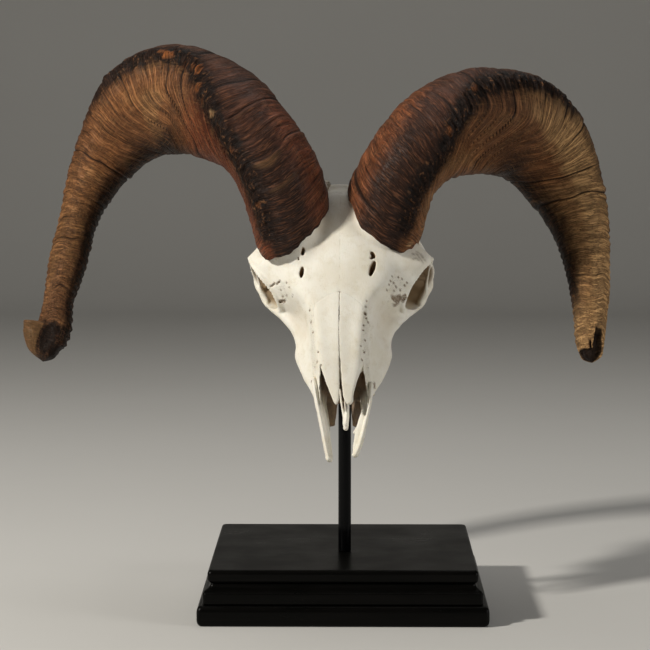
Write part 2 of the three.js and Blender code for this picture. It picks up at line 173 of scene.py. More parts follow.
# materials
class Finish:
    # a small builder for one material's nodes
    def __init__(self, name):
        self.material = bpy.data.materials.new(name)
        self.material.use_nodes = True
        self.tree = self.material.node_tree
        self.shader = self.tree.nodes["Principled BSDF"]
        self.coords = self.node("ShaderNodeTexCoord").outputs["Object"]

    def node(self, kind, **settings):
        made = self.tree.nodes.new(kind)
        for key, value in settings.items():
            setattr(made, key, value)
        return made

    def feed(self, made, values):
        for key, value in values.items():
            socket = made.inputs[key]
            if isinstance(value, bpy.types.NodeSocket):
                self.tree.links.new(value, socket)
            else:
                socket.default_value = value
        return made

    def attribute(self, name, vector=False):
        made = self.node("ShaderNodeAttribute", attribute_name=name)
        return made.outputs["Vector" if vector else "Fac"]

    def scaled(self, vector, scale):
        made = self.node("ShaderNodeMapping")
        return self.feed(made, {"Vector": vector, "Scale": scale}).outputs["Vector"]

    def noise(self, vector, scale, detail=4.0, rough=0.55, warp=0.0):
        values = {"Vector": vector, "Scale": scale, "Detail": detail, "Roughness": rough, "Distortion": warp}
        return self.feed(self.node("ShaderNodeTexNoise"), values).outputs["Fac"]

    def cells(self, vector, scale):
        made = self.node("ShaderNodeTexVoronoi")
        return self.feed(made, {"Vector": vector, "Scale": scale}).outputs["Distance"]

    def math(self, operation, a, b=0.0):
        return self.feed(self.node("ShaderNodeMath", operation=operation), {0: a, 1: b}).outputs[0]

    def plus(self, a, b):
        return self.math("ADD", a, b)

    def minus(self, a, b):
        return self.math("SUBTRACT", a, b)

    def times(self, a, b):
        return self.math("MULTIPLY", a, b)

    def most(self, a, b):
        return self.math("MAXIMUM", a, b)

    def apart(self, a, b):
        return self.math("ABSOLUTE", self.minus(a, b))

    def band(self, value, low, high, outLow=0.0, outHigh=1.0):
        made = self.node("ShaderNodeMapRange", interpolation_type="SMOOTHSTEP")
        values = {"Value": value, "From Min": low, "From Max": high, "To Min": outLow, "To Max": outHigh}
        return self.feed(made, values).outputs[0]

    def mix(self, share, a, b, blend="MIX"):
        made = self.node("ShaderNodeMix", data_type="RGBA", blend_type=blend)
        return self.feed(made, {0: share, 6: a, 7: b}).outputs[2]

    def bump(self, height, distance, strength):
        values = {"Height": height, "Distance": distance, "Strength": strength}
        return self.feed(self.node("ShaderNodeBump"), values).outputs["Normal"]


def tone(red, green, blue):
    # a colour as it reads on a screen, 0 to 255, turned into light values
    share = np.array([red, green, blue]) / 255.0
    linear = np.where(share <= 0.04045, share / 12.92, ((share + 0.055) / 1.055) ** 2.4)
    return (*linear.tolist(), 1.0)


# camera, light and floor
cameraPlan = {
    "place": (6.97, -1880.7, 389.6),
    "lookDown": 5.224,
    "lookLeft": 0.659,
    "imageWidth": 650,
    "focalPixels": 2400.0,
    "sensor": 36.0,
}


def makeCamera(plan):
    data = bpy.data.cameras.new("viewCamera")
    data.sensor_width = plan["sensor"]
    data.lens = plan["sensor"] * plan["focalPixels"] / plan["imageWidth"]
    data.clip_end = 50.0
    camera = bpy.data.objects.new("viewCamera", data)
    camera.location = [v * mm for v in plan["place"]]
    camera.rotation_euler = (math.radians(90 - plan["lookDown"]), 0.0, math.radians(plan["lookLeft"]))
    bpy.context.scene.collection.objects.link(camera)
    bpy.context.scene.camera = camera


lightPlan = {
    "key": {"place": (-1.72, -1.05, 1.46), "size": 0.20, "power": 53.0, "colour": (1.0, 0.955, 0.88)},
    "fill": {"place": (2.3, -0.95, 0.75), "size": 1.0, "power": 19.0, "colour": (1.0, 0.97, 0.93)},
    "top": {"place": (0.1, 0.6, 1.8), "size": 1.0, "power": 6.5, "colour": (1.0, 0.98, 0.95)},
    "aim": (0.0, 0.0, 0.29),
    "world": (0.62, 0.62, 0.60, 1.0),
    "worldPower": 0.04,
}


def aimAt(thing, target):
    offset = np.array(target) - np.array(thing.location)
    flat = math.hypot(offset[0], offset[1])
    thing.rotation_euler = (math.atan2(flat, -offset[2]), 0.0, math.atan2(offset[1], offset[0]) - math.pi / 2)


def makeLights(plan):
    for name in ("key", "fill", "top"):
        lamp = plan[name]
        data = bpy.data.lights.new(name + "Light", "AREA")
        data.energy = lamp["power"]
        data.size = lamp["size"]
        data.color = lamp["colour"]
        light = bpy.data.objects.new(name + "Light", data)
        light.location = lamp["place"]
        aimAt(light, plan["aim"])
        bpy.context.scene.collection.objects.link(light)
    world = bpy.data.worlds.new("studio")
    world.use_nodes = True
    background = world.node_tree.nodes["Background"]
    background.inputs["Color"].default_value = plan["world"]
    background.inputs["Strength"].default_value = plan["worldPower"]
    bpy.context.scene.world = world


floorPlan = {"halfWidth": 6000.0, "front": -5000.0, "back": 2600.0, "bend": 1200.0, "height": 4500.0}


def makeFloor(plan):
    # a strip that runs back, bends up through a quarter circle and rises
    turn = np.linspace(0.0, math.pi / 2, 24)
    depth = np.concatenate([[plan["front"]], plan["back"] + plan["bend"] * np.sin(turn),
                            [plan["back"] + plan["bend"]]])
    height = np.concatenate([[0.0], plan["bend"] * (1 - np.cos(turn)), [plan["height"]]])
    side = np.array([-plan["halfWidth"], plan["halfWidth"]])
    points = np.stack(np.broadcast_arrays(side[None, :], depth[:, None], height[:, None]), -1)
    rows = len(depth)
    faces = [(2 * i, 2 * i + 1, 2 * i + 3, 2 * i + 2) for i in range(rows - 1)]
    finish = Finish("paleFloor")
    grain = finish.noise(finish.coords, 3.0)
    shade = finish.mix(grain, (0.60, 0.595, 0.575, 1), (0.63, 0.625, 0.605, 1))
    finish.feed(finish.shader, {"Base Color": shade, "Roughness": 0.9, "Specular IOR Level": 0.1})
    floor = meshPiece("studioFloor", points.reshape(-1, 3), faces, finish.material)


makeCamera(cameraPlan)
makeLights(lightPlan)
makeFloor(floorPlan)
bpy.context.scene.view_settings.view_transform = "Standard"
print("camera, lights and floor made")


# stand: sizes in millimetres, heights above the floor
standPlan = {
    "baseHalf": 110.0, "stepHalf": 105.7, "neckHalf": 100.0, "topHalf": 102.1,
    "baseTop": 15.6, "stepTop": 25.0, "neckTop": 31.4, "top": 41.7,
    "cornerShare": 0.028, "cornerSteps": 10, "joint": 0.15,
    "baseEdge": 5.0, "baseBulge": 0.55, "lipEdge": 1.1, "coveInset": 1.5, "coveRise": 1.2, "coveCurve": 1.3,
    "topEdge": 3.6, "topBulge": 0.75,
    "postRadius": 5.0, "postX": 1.0, "postY": -22.0, "postTop": 232.0,
}


def squareRing(half, radius, steps):
    # four quarter circles joined by straight sides, counter-clockwise
    turn = np.linspace(0.0, math.pi / 2, steps)[None, :] + np.arange(4)[:, None] * math.pi / 2
    signX = np.array([1, -1, -1, 1])[:, None]
    signY = np.array([1, 1, -1, -1])[:, None]
    x = signX * (half - radius) + radius * np.cos(turn)
    y = signY * (half - radius) + radius * np.sin(turn)
    return np.stack([x, y], -1).reshape(-1, 2)


def mouldedBoard(name, profile, material):
    # the square ring carried up through a profile of half side, corner radius and height
    rings = []
    for half, radius, z in profile:
        ring = squareRing(half, radius, standPlan["cornerSteps"])
        rings.append(np.column_stack([ring, np.full(len(ring), z)]))
    points, faces = cappedGrid(np.array(rings))
    piece = meshPiece(name, points, facesOutward(points, faces), material)
    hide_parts(name)
    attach(piece, "root")


def roundedEdge(half, low, high, edge, steps=7, bulge=1.0):
    # profile of a board with its upper and lower edges rounded to a quarter circle
    turn = np.linspace(0.0, math.pi / 2, steps)
    out = edge * bulge
    lower = [(half - out + out * math.sin(t), low + edge - edge * math.cos(t)) for t in turn]
    upper = [(half - out + out * math.cos(t), high - edge + edge * math.sin(t)) for t in turn]
    return lower + upper


def flatRows(profile, inset=(1.0, 4.0, 40.0)):
    # extra rings on the top and bottom faces, so that the round edges shade evenly
    bottom = [(profile[0][0] - d, profile[0][1]) for d in reversed(inset)]
    top = [(profile[-1][0] - d, profile[-1][1]) for d in inset]
    return bottom + profile + top


def makeStand(plan):
    wood = blackWood()
    corner = plan["cornerShare"]

    def withCorners(profile):
        return [(half, max(half * corner, 1.5), z) for half, z in profile]

    joint = plan["joint"]  # half the hair of air between two boards
    base = roundedEdge(plan["baseHalf"], 0.0, plan["baseTop"] - joint, plan["baseEdge"],
                       bulge=plan["baseBulge"])
    mouldedBoard("stand_base_board", withCorners(flatRows(base)), wood)
    # the cove's half side falls from the lip to the neck as one less a sine
    coveLow, coveHigh = plan["stepTop"] + plan["coveRise"], plan["neckTop"] - joint
    share = np.linspace(0.0, 1.0, 9)
    coveOut = plan["stepHalf"] - plan["coveInset"] - plan["neckHalf"]
    cove = [(plan["neckHalf"] + coveOut * (1 - math.sin(s * math.pi / 2)) ** plan["coveCurve"],
             coveLow + (coveHigh - coveLow) * s) for s in share]
    lip = roundedEdge(plan["stepHalf"], plan["baseTop"] + joint, plan["stepTop"], plan["lipEdge"])
    mouldedBoard("stand_middle_step", withCorners(flatRows(lip[:-1] + cove)), wood)
    top = roundedEdge(plan["topHalf"], plan["neckTop"] + joint, plan["top"], plan["topEdge"],
                      steps=9, bulge=plan["topBulge"])
    mouldedBoard("stand_top_board", withCorners(flatRows(top)), wood)
    makePost(plan)


def makePost(plan):
    # a circle carried straight up, with a small chamfer at both ends
    turn = np.linspace(0.0, 2 * math.pi, 64, endpoint=False)
    low, high = plan["top"] + 0.05, plan["postTop"]
    heights = [low, low + 0.4, low + 20, low + 90, high - 0.4, high]
    widths = [plan["postRadius"] - 0.3] + [plan["postRadius"]] * 4 + [plan["postRadius"] - 0.3]
    rings = [np.column_stack([plan["postX"] + w * np.cos(turn), plan["postY"] + w * np.sin(turn),
                              np.full(64, z)]) for w, z in zip(widths, heights)]
    points, faces = cappedGrid(np.array(rings))
    piece = meshPiece("stand_post", points, facesOutward(points, faces), blackMetal())
    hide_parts("stand_post")
    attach(piece, "root")


def blackWood():
    finish = Finish("blackSatinWood")
    long = finish.scaled(finish.coords, (6.0, 90.0, 90.0))
    grain = finish.noise(long, 3.0, 6.0, 0.6, 0.4)
    dust = finish.noise(finish.coords, 900.0, 2.0)
    patch = finish.noise(finish.coords, 22.0, 4.0)
    colour = finish.mix(finish.band(grain, 0.35, 0.7), tone(5, 5, 4), tone(9, 8, 7))
    colour = finish.mix(finish.band(dust, 0.72, 0.8, 0.0, 0.35), colour, tone(70, 68, 62))
    rough = finish.plus(finish.band(patch, 0.3, 0.7, 0.24, 0.34), finish.times(grain, 0.06))
    height = finish.plus(finish.times(grain, 0.7), finish.times(dust, 0.3))
    finish.feed(finish.shader, {"Base Color": colour, "Roughness": rough, "Specular IOR Level": 0.09,
                                "Normal": finish.bump(height, 0.00005, 0.35)})
    return finish.material


def blackMetal():
    finish = Finish("blackPost")
    brush = finish.noise(finish.scaled(finish.coords, (400.0, 400.0, 20.0)), 1.0, 4.0)
    colour = finish.mix(brush, tone(5, 5, 6), tone(9, 9, 10))
    rough = finish.band(brush, 0.2, 0.8, 0.16, 0.28)
    finish.feed(finish.shader, {"Base Color": colour, "Roughness": rough, "Metallic": 0.0,
                                "Specular IOR Level": 0.10, "Normal": finish.bump(brush, 0.00002, 0.4)})
    return finish.material


makeStand(standPlan)
print("stand made")


# horns
# Each station is x, y, z of the centre line, then the half width across the view and
# the half width from front to back, all in millimetres. Turns round a horn are in degrees:
# 0 points away from the skull, 90 to the back, 270 to the front.
hornPlan = {
    "left": {
        "side": -1, "coreShift": 1.5, "coreLess": 5.0, "rimLift": 6.5,
        "stations": [
            (-41, 2, 299, 32, 44), (-54.3, -2, 340.3, 32.7, 43), (-68.9, 6, 361.1, 32.8, 42),
            (-87.5, 21, 378.8, 37.5, 40), (-103.2, 36, 388.1, 40.3, 38), (-122.5, 50, 394.7, 42.9, 36),
            (-159.2, 72, 386.8, 41.8, 33), (-184.9, 84, 361, 30.6, 29), (-203.5, 83, 330.1, 22.1, 25),
            (-216.2, 70, 294, 15.2, 20), (-223.5, 50, 258.1, 14.5, 16.5), (-229.2, 33, 226.2, 12, 14),
            (-230.5, 27, 214, 13.6, 14), (-234, 23, 204, 13.5, 13.5), (-237, 20, 195, 10.8, 11),
            (-239.5, 18, 186.5, 6, 7),
        ],
        "keelLine": [(0, 234), (45, 232), (58, 236), (70, 244), (84, 255), (97, 266), (108, 281),
                     (123, 296), (145, 315), (165, 323), (200, 330), (250, 340), (430, 350)],
        "lag": [(0, 0.2), (50, 0.7), (150, 0.78), (185, 0.45), (250, 0.0), (430, 0.0)],
        "keelShift": -4.0, "knobHeight": 3.1, "knobEnd": 205.0, "waves": 0.0,
        "grooves": [(14, 0.5), (26, 0.6), (39, 0.9), (52, 1.1), (64, 0.7), (81, 1.5), (90, 0.5), (100, 1.3),
                    (113.5, 1.1), (127, 0.6), (137, 0.9), (151, 1.6), (168, 0.6), (186, 1.1), (204, 0.7),
                    (224, 0.9), (240, 0.6), (256, 1.9), (275, 0.6), (291, 0.7), (312, 0.7), (330, 1.4),
                    (350, 0.7), (372, 1.0), (392, 0.7)],
        "chips": [(93, -0.06, 2.2, 0.88), (34, 0.02, 2.2, 0.35), (67, 0.0, 1.8, 0.25),
                  (104, -0.10, 1.8, 0.3), (114, -0.10, 3.2, 0.62), (127, 0.02, 3.2, 0.8),
                  (134, -0.05, 1.8, 0.4), (141, -0.12, 2.2, 0.4), (155, -0.02, 3.6, 0.8),
                  (160, 0.04, 2.6, 0.6)],
        "seed": 11,
    },
    "right": {
        "side": 1, "coreShift": 0.0, "coreLess": 5.0, "rimLift": 2.0,
        "stations": [
            (34, 8, 308, 33.5, 44), (47.9, 3, 342, 32.1, 43), (70.7, 12, 365.4, 36.2, 41),
            (94.8, 30, 376.7, 41, 38), (118.1, 50, 378, 42.2, 36), (144.2, 70, 370.4, 42.6, 34),
            (164.1, 83, 350.6, 38, 31), (177.2, 85, 328.3, 32.4, 28), (189.1, 76, 299.5, 25.4, 24),
            (195.2, 60, 266.9, 19.1, 20), (197, 43, 238, 15.4, 16), (196.5, 32, 216, 12.6, 13.5),
            (196, 24, 200, 11, 12), (197.5, 19, 186, 7, 8),
        ],
        "keelLine": [(0, 240), (25, 237), (41, 236), (53, 240), (64, 251), (76, 270), (86, 285), (94, 296),
                     (108, 310), (130, 320), (160, 328), (200, 338), (400, 350)],
        "lag": [(0, 0.3), (60, 0.9), (135, 1.0), (180, 0.6), (250, 0.05), (400, 0.0)],
        "keelShift": 2.0, "knobHeight": 1.3, "knobEnd": 170.0, "waves": 0.8,
        "grooves": [(14, 0.5), (26, 0.7), (37, 0.9), (52, 0.8), (66, 1.2), (80, 0.8), (92, 1.3), (104, 0.9),
                    (117, 1.2), (131, 1.7), (146, 1.0), (160, 1.3), (178, 0.8), (196, 0.9), (214, 0.7),
                    (228, 1.0), (249, 2.1), (262, 0.7), (280, 0.9), (300, 0.6), (318, 0.8), (338, 0.7)],
        "chips": [(4, -0.25, 2.4, 0.9), (70, 0.12, 2.2, 0.35), (98, 0.05, 2.4, 0.3)],
        "seed": 47,
    },
    "rows": 1030, "columns": 96,
    "slantOut": 9.0, "slantBack": 17.0, "slantFade": 70.0, "coreDown": 34.0, "coreUp": 9.0,
}


def hornRows(plan, spec):
    # centre line, section sizes and local axes at evenly spaced lengths along one horn
    stations = np.array(spec["stations"], float)
    chord = np.concatenate([[0.0], np.cumsum(np.linalg.norm(np.diff(stations[:, :3], axis=0), axis=1))])
    fine = splineThrough(chord, stations, np.linspace(0.0, chord[-1], 4000))
    length = np.concatenate([[0.0], np.cumsum(np.linalg.norm(np.diff(fine[:, :3], axis=0), axis=1))])
    share = np.linspace(0.0, 1.0, plan["rows"])
    even = share * length[-1]
    rows = np.stack([np.interp(even, length, fine[:, k]) for k in range(5)], -1)
    heading = np.gradient(rows[:, :3], even, axis=0)
    heading /= np.linalg.norm(heading, axis=1, keepdims=True)
    back = np.array([0.0, 1.0, 0.0]) - heading[:, 1:2] * heading
    back /= np.linalg.norm(back, axis=1, keepdims=True)
    outer = spec["side"] * np.cross(heading, back)
    return even, rows, heading, back, outer


def keelTurn(spec, s):
    # the keel's turn round the horn at s: its table, evened out by a running mean
    places, turns = np.array(spec["keelLine"], float).T
    knots = np.linspace(0.0, places[-1], 400)
    smooth = np.convolve(np.pad(np.interp(knots, places, turns), 12, "edge"), np.ones(25) / 25, "valid")
    return np.radians(np.interp(s, knots, smooth))


def ringLevel(spec, s, angle, keel):
    # s of the ring through each spot: rings run square to the horn on the skull's side of the keel,
    # and lag towards the root on the under side of its bend
    degrees = np.degrees(angle) % 360.0
    lag = np.interp(s, *np.array(spec["lag"], float).T)
    start = np.minimum(285.0, np.degrees(keelTurn(spec, s)) + 8.0)
    reach = 60.0 * smoothStep(0, 80, start - degrees) * smoothStep(80, 165, degrees)
    cosA, sinA, seed = np.cos(angle), np.sin(angle), spec["seed"]
    wander = 1.6 * cloud(cosA * 1.3, sinA * 1.3, s / 55.0, seed)
    wander = wander + 0.8 * cloud(cosA * 3, sinA * 3, s / 18.0, seed + 1)
    return s + lag * reach + wander + spec["keelShift"] * bell(keel, 0.45) * smoothStep(240, 160, s)


def grooveHeight(spec, ring, cosA, sinA):
    # each groove is a narrow bell, with a low lip on the root's side and a slow step down beyond it
    height = np.zeros_like(ring)
    for place, depth in spec["grooves"]:
        swing = 1.3 * cloud(cosA * 2, sinA * 2, place * 0.37, spec["seed"])
        near = ring - place - swing
        strength = depth * (0.72 + 0.4 * cloud(cosA * 1.7, sinA * 1.7, place * 0.61, spec["seed"] + 8))
        height += strength * (0.42 * bell(near + 2.7, 1.7) - bell(near, 0.95) - 0.22 * bell(near - 3.5, 3.2))
    return height


def knobHeights(spec, s, keel, radius):
    # a row of low domes set at uneven places along the keel
    places = np.arange(10.0, spec["knobEnd"], 5.6)
    index = np.arange(len(places))
    height = np.zeros(keel.shape)
    for place, k in zip(places + 1.8 * hashCell(index, 3, 1, spec["seed"]), index):
        aside, size, rise = (float(hashCell(np.array(k), row, 5, spec["seed"])) for row in (7, 11, 13))
        wide = 3.3 + 1.1 * size
        gap = ((s - place) / wide) ** 2 + ((keel - 0.13 * aside) * radius / (wide * 1.25)) ** 2
        height += spec["knobHeight"] * (0.75 + 0.35 * rise) * np.exp(-gap ** 1.5)
    return height


def turnFrom(angle, middle):
    # the turn from the middle, taken the short way round
    return np.angle(np.exp(1j * (angle - middle)))


def hornSkin(plan, spec):
    # rounded triangle carried along the centre line; on it lie grooves, rings, a knobby keel and lips
    s, rows, heading, back, outer = hornRows(plan, spec)
    angle = np.linspace(0.0, 2 * math.pi, plan["columns"], endpoint=False)[None, :]
    s = s[:, None]
    total = s[-1, 0]
    seed = spec["seed"]
    keel = (angle - keelTurn(spec, s) + math.pi) % (2 * math.pi) - math.pi
    section = 1.0 + 0.035 * np.cos(3 * keel) + 0.035 * bell(keel, 0.35)
    cosA, sinA = np.cos(angle), np.sin(angle)
    slide = np.exp(-s / plan["slantFade"]) * (plan["slantOut"] * cosA + plan["slantBack"] * sinA)
    slide = slide + 2.0 * np.exp(-s / 5.0) * layeredCloud(cosA * 6, sinA * 6, 0.3 + 0 * s, seed + 30, 2)
    slide = slide + spec["rimLift"] * np.exp(-s / 30.0) * bell(turnFrom(angle, 5.1), 1.25)
    ring = ringLevel(spec, s, angle, keel)
    radius = 0.5 * (rows[:, 3:4] + rows[:, 4:5])

    height = grooveHeight(spec, ring, cosA, sinA)
    broad = cloud(ring / 8.0, cosA * 0.7, sinA * 0.7, seed + 2)
    middle = cloud(ring / 3.4, cosA * 1.3, sinA * 1.3, seed + 3)
    fine = cloud(ring / 1.05, cosA * 2.0, sinA * 2.0, seed + 4)
    skullSide = smoothStep(0.1, 0.5, keel) * smoothStep(2.9, 2.4, keel)
    height += (0.42 + 0.3 * skullSide) * broad + (0.26 + 0.2 * skullSide) * middle + 0.13 * fine
    height *= 1.0 - 0.35 * smoothStep(0.6, 0.95, s / total)

    # keel: knobs, broken ridges between them, and small wavy ridges on the smoother horn
    rough = layeredCloud(cosA * 9, sinA * 9, ring / 3.4, seed + 5, 3)
    keelShare = bell(keel, 0.27) * smoothStep(2, 20, s)
    keelShare = keelShare * smoothStep(spec["knobEnd"] + 45, spec["knobEnd"] - 20, s)
    height += keelShare * (rough + knobHeights(spec, s, keel, radius) - 0.5)
    height += keelShare * 0.8 * np.abs(cloud(cosA * 14, sinA * 14, ring / 1.9, seed + 6))
    height += keelShare * spec["waves"] * np.sin(2 * math.pi * ring / 4.6 + 2 * rough)

    # lips of the rings, sharp on one side, on the outer edge and on the inner edge of the lower horn
    saw = (ring / 5.9 + 0.25 * cloud(ring / 23.0, 0.5 * cosA, 0.5 * sinA, seed + 9)) % 1.0
    lip = np.where(saw < 0.72, saw / 0.72, (1.0 - saw) / 0.28) - 0.5
    outerEdge = bell(turnFrom(angle, 0), 0.5) * smoothStep(205, 240, s)
    outerEdge = outerEdge * smoothStep(total - 45, total - 70, s)
    innerEdge = bell(turnFrom(angle, math.pi * 1.02), 0.42) * smoothStep(255, 300, s)
    size = 0.7 + 0.3 * cloud(ring / 11.0, 3.1, 0.4, seed + 12)
    height += size * lip * (1.3 * outerEdge + 2.3 * innerEdge * smoothStep(total - 8, total - 22, s))
    shapeTip = spurTip if spec["side"] < 0 else brokenTip
    height, dark = shapeTip(height, angle, total - s, cosA, sinA, seed)

    end = np.sqrt(np.clip(1.0 - smoothStep(total - 7.0, total, s) ** 2, 0.0, 1.0))
    wide = rows[:, 3:4] * section * (0.02 + 0.98 * end)
    deep = rows[:, 4:5] * section * (0.02 + 0.98 * end)
    height = height * (0.1 + 0.9 * end)
    centre = rows[:, None, :3]
    radial = outer[:, None, :] * cosA[..., None] + back[:, None, :] * sinA[..., None]
    skin = centre + outer[:, None, :] * (wide * cosA)[..., None] + back[:, None, :] * (deep * sinA)[..., None]
    skin = skin + heading[:, None, :] * slide[..., None] + radial * height[..., None]
    facts = {"s": s + 0 * angle, "ring": ring, "keel": keel, "angle": angle + 0 * s, "height": height,
             "keelShare": keelShare, "total": total, "hollow": dark, "radius": radius + 0 * angle}
    return skin, facts


def spurTip(height, angle, left, cosA, sinA, seed):
    # worn end: a spur stands out from the outer edge, its front is hollowed, and a step breaks the inner edge
    outward = turnFrom(angle, 0)
    spur = 11.0 * smoothStep(30.0, 24.5, left) * (0.12 + 0.88 * np.clip(left / 25.0, 0, 1))
    height = height + spur * np.exp(-(np.abs(outward) / 0.78) ** 3)
    front = turnFrom(angle, math.radians(283))
    height = height - 3.6 * bell(front, 0.55) * bell(left - 17.0, 9.0)
    inner = turnFrom(angle, math.radians(196))
    height = height - 1.8 * bell(inner, 0.7) * smoothStep(15.5, 13.8, left)
    worn = layeredCloud(cosA * 4, sinA * 4, left / 5.0, seed + 40, 3)
    return height + 0.55 * worn * smoothStep(36, 28, left), 0.90 * smoothStep(32, 25, left + 2.2 * worn)


def brokenTip(height, angle, left, cosA, sinA, seed):
    # broken end: the outer shell stops short in a ragged step, and beside it the inside lies open
    # as a deep groove that narrows away from the tip
    groove = turnFrom(angle, math.radians(303))
    ragged = layeredCloud(cosA * 6, sinA * 6, left / 4.0, seed + 40, 2)
    narrowing = 0.013 * np.clip(left - 9, 0, 30)
    openEdge = smoothStep(0.50, 0.36, np.abs(groove) + 0.06 * ragged + narrowing)
    openEdge = openEdge * smoothStep(27.0, 21.5, left + 1.2 * ragged)
    plate = turnFrom(angle, math.radians(240))
    short = smoothStep(10.2, 8.8, left + 0.8 * ragged) * smoothStep(1.3, 1.0, np.abs(plate))
    notch = smoothStep(0.10, 0.05, np.abs(turnFrom(angle, math.radians(267)))) * smoothStep(15.5, 14.0, left)
    step = 0.7 * smoothStep(34.5, 33.2, left + 0.6 * ragged)
    step = step * smoothStep(0.9, 0.6, np.abs(plate - 0.3)) * (1 - openEdge)
    height = height + step - 4.8 * openEdge - 2.6 * np.maximum(short, notch) * (1 - openEdge)
    return height, np.clip(openEdge + short + notch, 0, 1)


hornTones = {
    "golden": tone(160, 107, 66), "tan": tone(192, 148, 98), "pale": tone(214, 170, 116),
    "olive": tone(136, 99, 62), "rust": tone(126, 66, 40), "brown": tone(108, 72, 48),
    "plum": tone(98, 64, 50), "char": tone(44, 30, 24), "black": tone(20, 13, 10),
    "under": tone(18, 10, 6), "amber": tone(176, 106, 56), "chalk": tone(200, 160, 116),
}


def hornColours(spec, facts):
    # blends the tones over the surface by share: side of the keel, place along the horn, painted
    # shade on the underside of the curl, chips, hollows
    s, keel, total, angle, ring = (facts[k] for k in ("s", "keel", "total", "angle", "ring"))
    cosA, sinA, seed = np.cos(angle), np.sin(angle), spec["seed"]
    blotch = layeredCloud(cosA * 1.6, sinA * 1.6, s / 34.0, seed + 20, 3)
    small = layeredCloud(cosA * 6.0, sinA * 6.0, ring / 7.0, seed + 22, 3)
    grit = layeredCloud(cosA * 17.0, sinA * 17.0, ring / 2.0, seed + 24, 2)
    degrees = np.degrees(angle) % 360.0
    colour = np.broadcast_to(np.array(hornTones["golden"][:3]), s.shape + (3,)).copy()

    def paint(share, name):
        share = np.clip(share, 0, 1)[..., None]
        colour[:] = colour * (1 - share) + np.array(hornTones[name][:3]) * share

    left = spec["side"] < 0
    paint(0.55 * smoothStep(-0.1, 0.6, blotch), "brown")
    paint(0.45 * smoothStep(0.1, 0.7, -blotch), "tan")
    if left:
        paint(smoothStep(150, 95, s + 12 * blotch), "rust")
        paint(0.75 * smoothStep(235, 330, s + 14 * blotch), "olive")
        paint(0.55 * smoothStep(320, 385, s + 18 * blotch), "brown")
    else:
        paint(0.6 * smoothStep(70, 110, s) * smoothStep(215, 160, s + 10 * blotch), "brown")
        paint(0.85 * smoothStep(205, 275, s + 14 * blotch), "tan")
        outside = smoothStep(265, 290, degrees + 8 * small) * smoothStep(125, 185, s + 12 * blotch)
        paint(0.9 * outside, "pale")
    towards = smoothStep(-0.06, 0.16, keel + 0.10 * small) * smoothStep(2.7, 2.3, keel)
    towards = towards * smoothStep(330, 230, s + 20 * blotch)
    paint(towards, "plum")
    paint(towards * 0.7 * smoothStep(115, 150, s + 10 * blotch), "brown")
    paint(towards * 0.85 * smoothStep(95, 45, s + 22 * blotch) * (1 - smoothStep(1.0, 1.5, keel)), "char")
    edge = smoothStep(0.95, 1.55, keel + 0.12 * small) * smoothStep(2.9, 2.5, keel)
    edge = edge * smoothStep(110, 60, s + 12 * blotch)
    paint(edge * (0.75 if left else 0.9), "rust")
    if not left:
        paint(edge * 0.25, "golden")
    paint(0.7 * smoothStep(6, 0, s) * (0.6 + 0.6 * small), "char")
    # painted shade: the underside of the bent horn, turned away from the light, is darkened to near black
    below = smoothStep(95, 130, degrees) * smoothStep(110, 160, s)
    paint(0.55 * smoothStep(256, 232, degrees + 9 * small) * below, "char")
    paint(0.97 * smoothStep(240, 221, degrees + 6 * small) * below, "under")
    ridge = facts["keelShare"]
    paint(1.6 * ridge * (0.95 + 0.3 * small), "black")
    band = bell(keel, 0.2) * smoothStep(150, 200, s) * smoothStep(290, 220, s)
    paint(0.85 * band * (0.8 + 0.5 * small), "char")
    for place, aside, size, strength in spec["chips"]:
        gap = ((s - place) / size) ** 2 + ((keel - aside) * facts["radius"] / (1.3 * size)) ** 2
        chip = smoothStep(1.2, 0.5, gap + 0.45 * small + 0.35 * grit) * strength
        paint(chip, "chalk" if strength > 0.85 else "amber")
    if left:
        paint(0.97 * facts["hollow"], "black")
    else:
        paint(0.7 * smoothStep(total - 60, total - 25, s) * (1 - facts["hollow"]), "pale")
        paint((0.82 + 0.14 * small) * facts["hollow"], "char")
        white = bell(turnFrom(angle, math.radians(296)), 0.16) * bell(total - s - 27.5, 2.0)
        paint(white * smoothStep(-0.2, 0.3, small), "chalk")
    return colour


def makeHorn(name, plan, spec):
    skin, facts = hornSkin(plan, spec)
    points, faces = cappedGrid(skin)
    angle, keel = facts["angle"], facts["keel"]
    grain = np.stack([np.cos(angle) * 25.0, np.sin(angle) * 25.0, facts["ring"]], -1)
    # where fine strokes cross the rings: the outer face, and the face near the skull
    hatch = smoothStep(0.05, -0.35, keel) * smoothStep(-2.6, -2.2, keel)
    far = smoothStep(1.0, 1.5, keel) * smoothStep(2.7, 2.4, keel) * smoothStep(170, 110, facts["s"])
    attributes = {
        "hornGrain": capValues(grain),
        "hornTone": capValues(hornColours(spec, facts)),
        "hornKeel": capValues(facts["keelShare"]),
        "hornHatch": capValues(np.maximum(hatch, 0.8 * far)),
        "hornHeight": capValues(facts["height"]),
    }
    piece = meshPiece(name, points, facesOutward(points, faces), hornFinish(), attributes)
    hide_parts(name)
    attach(piece, "root")


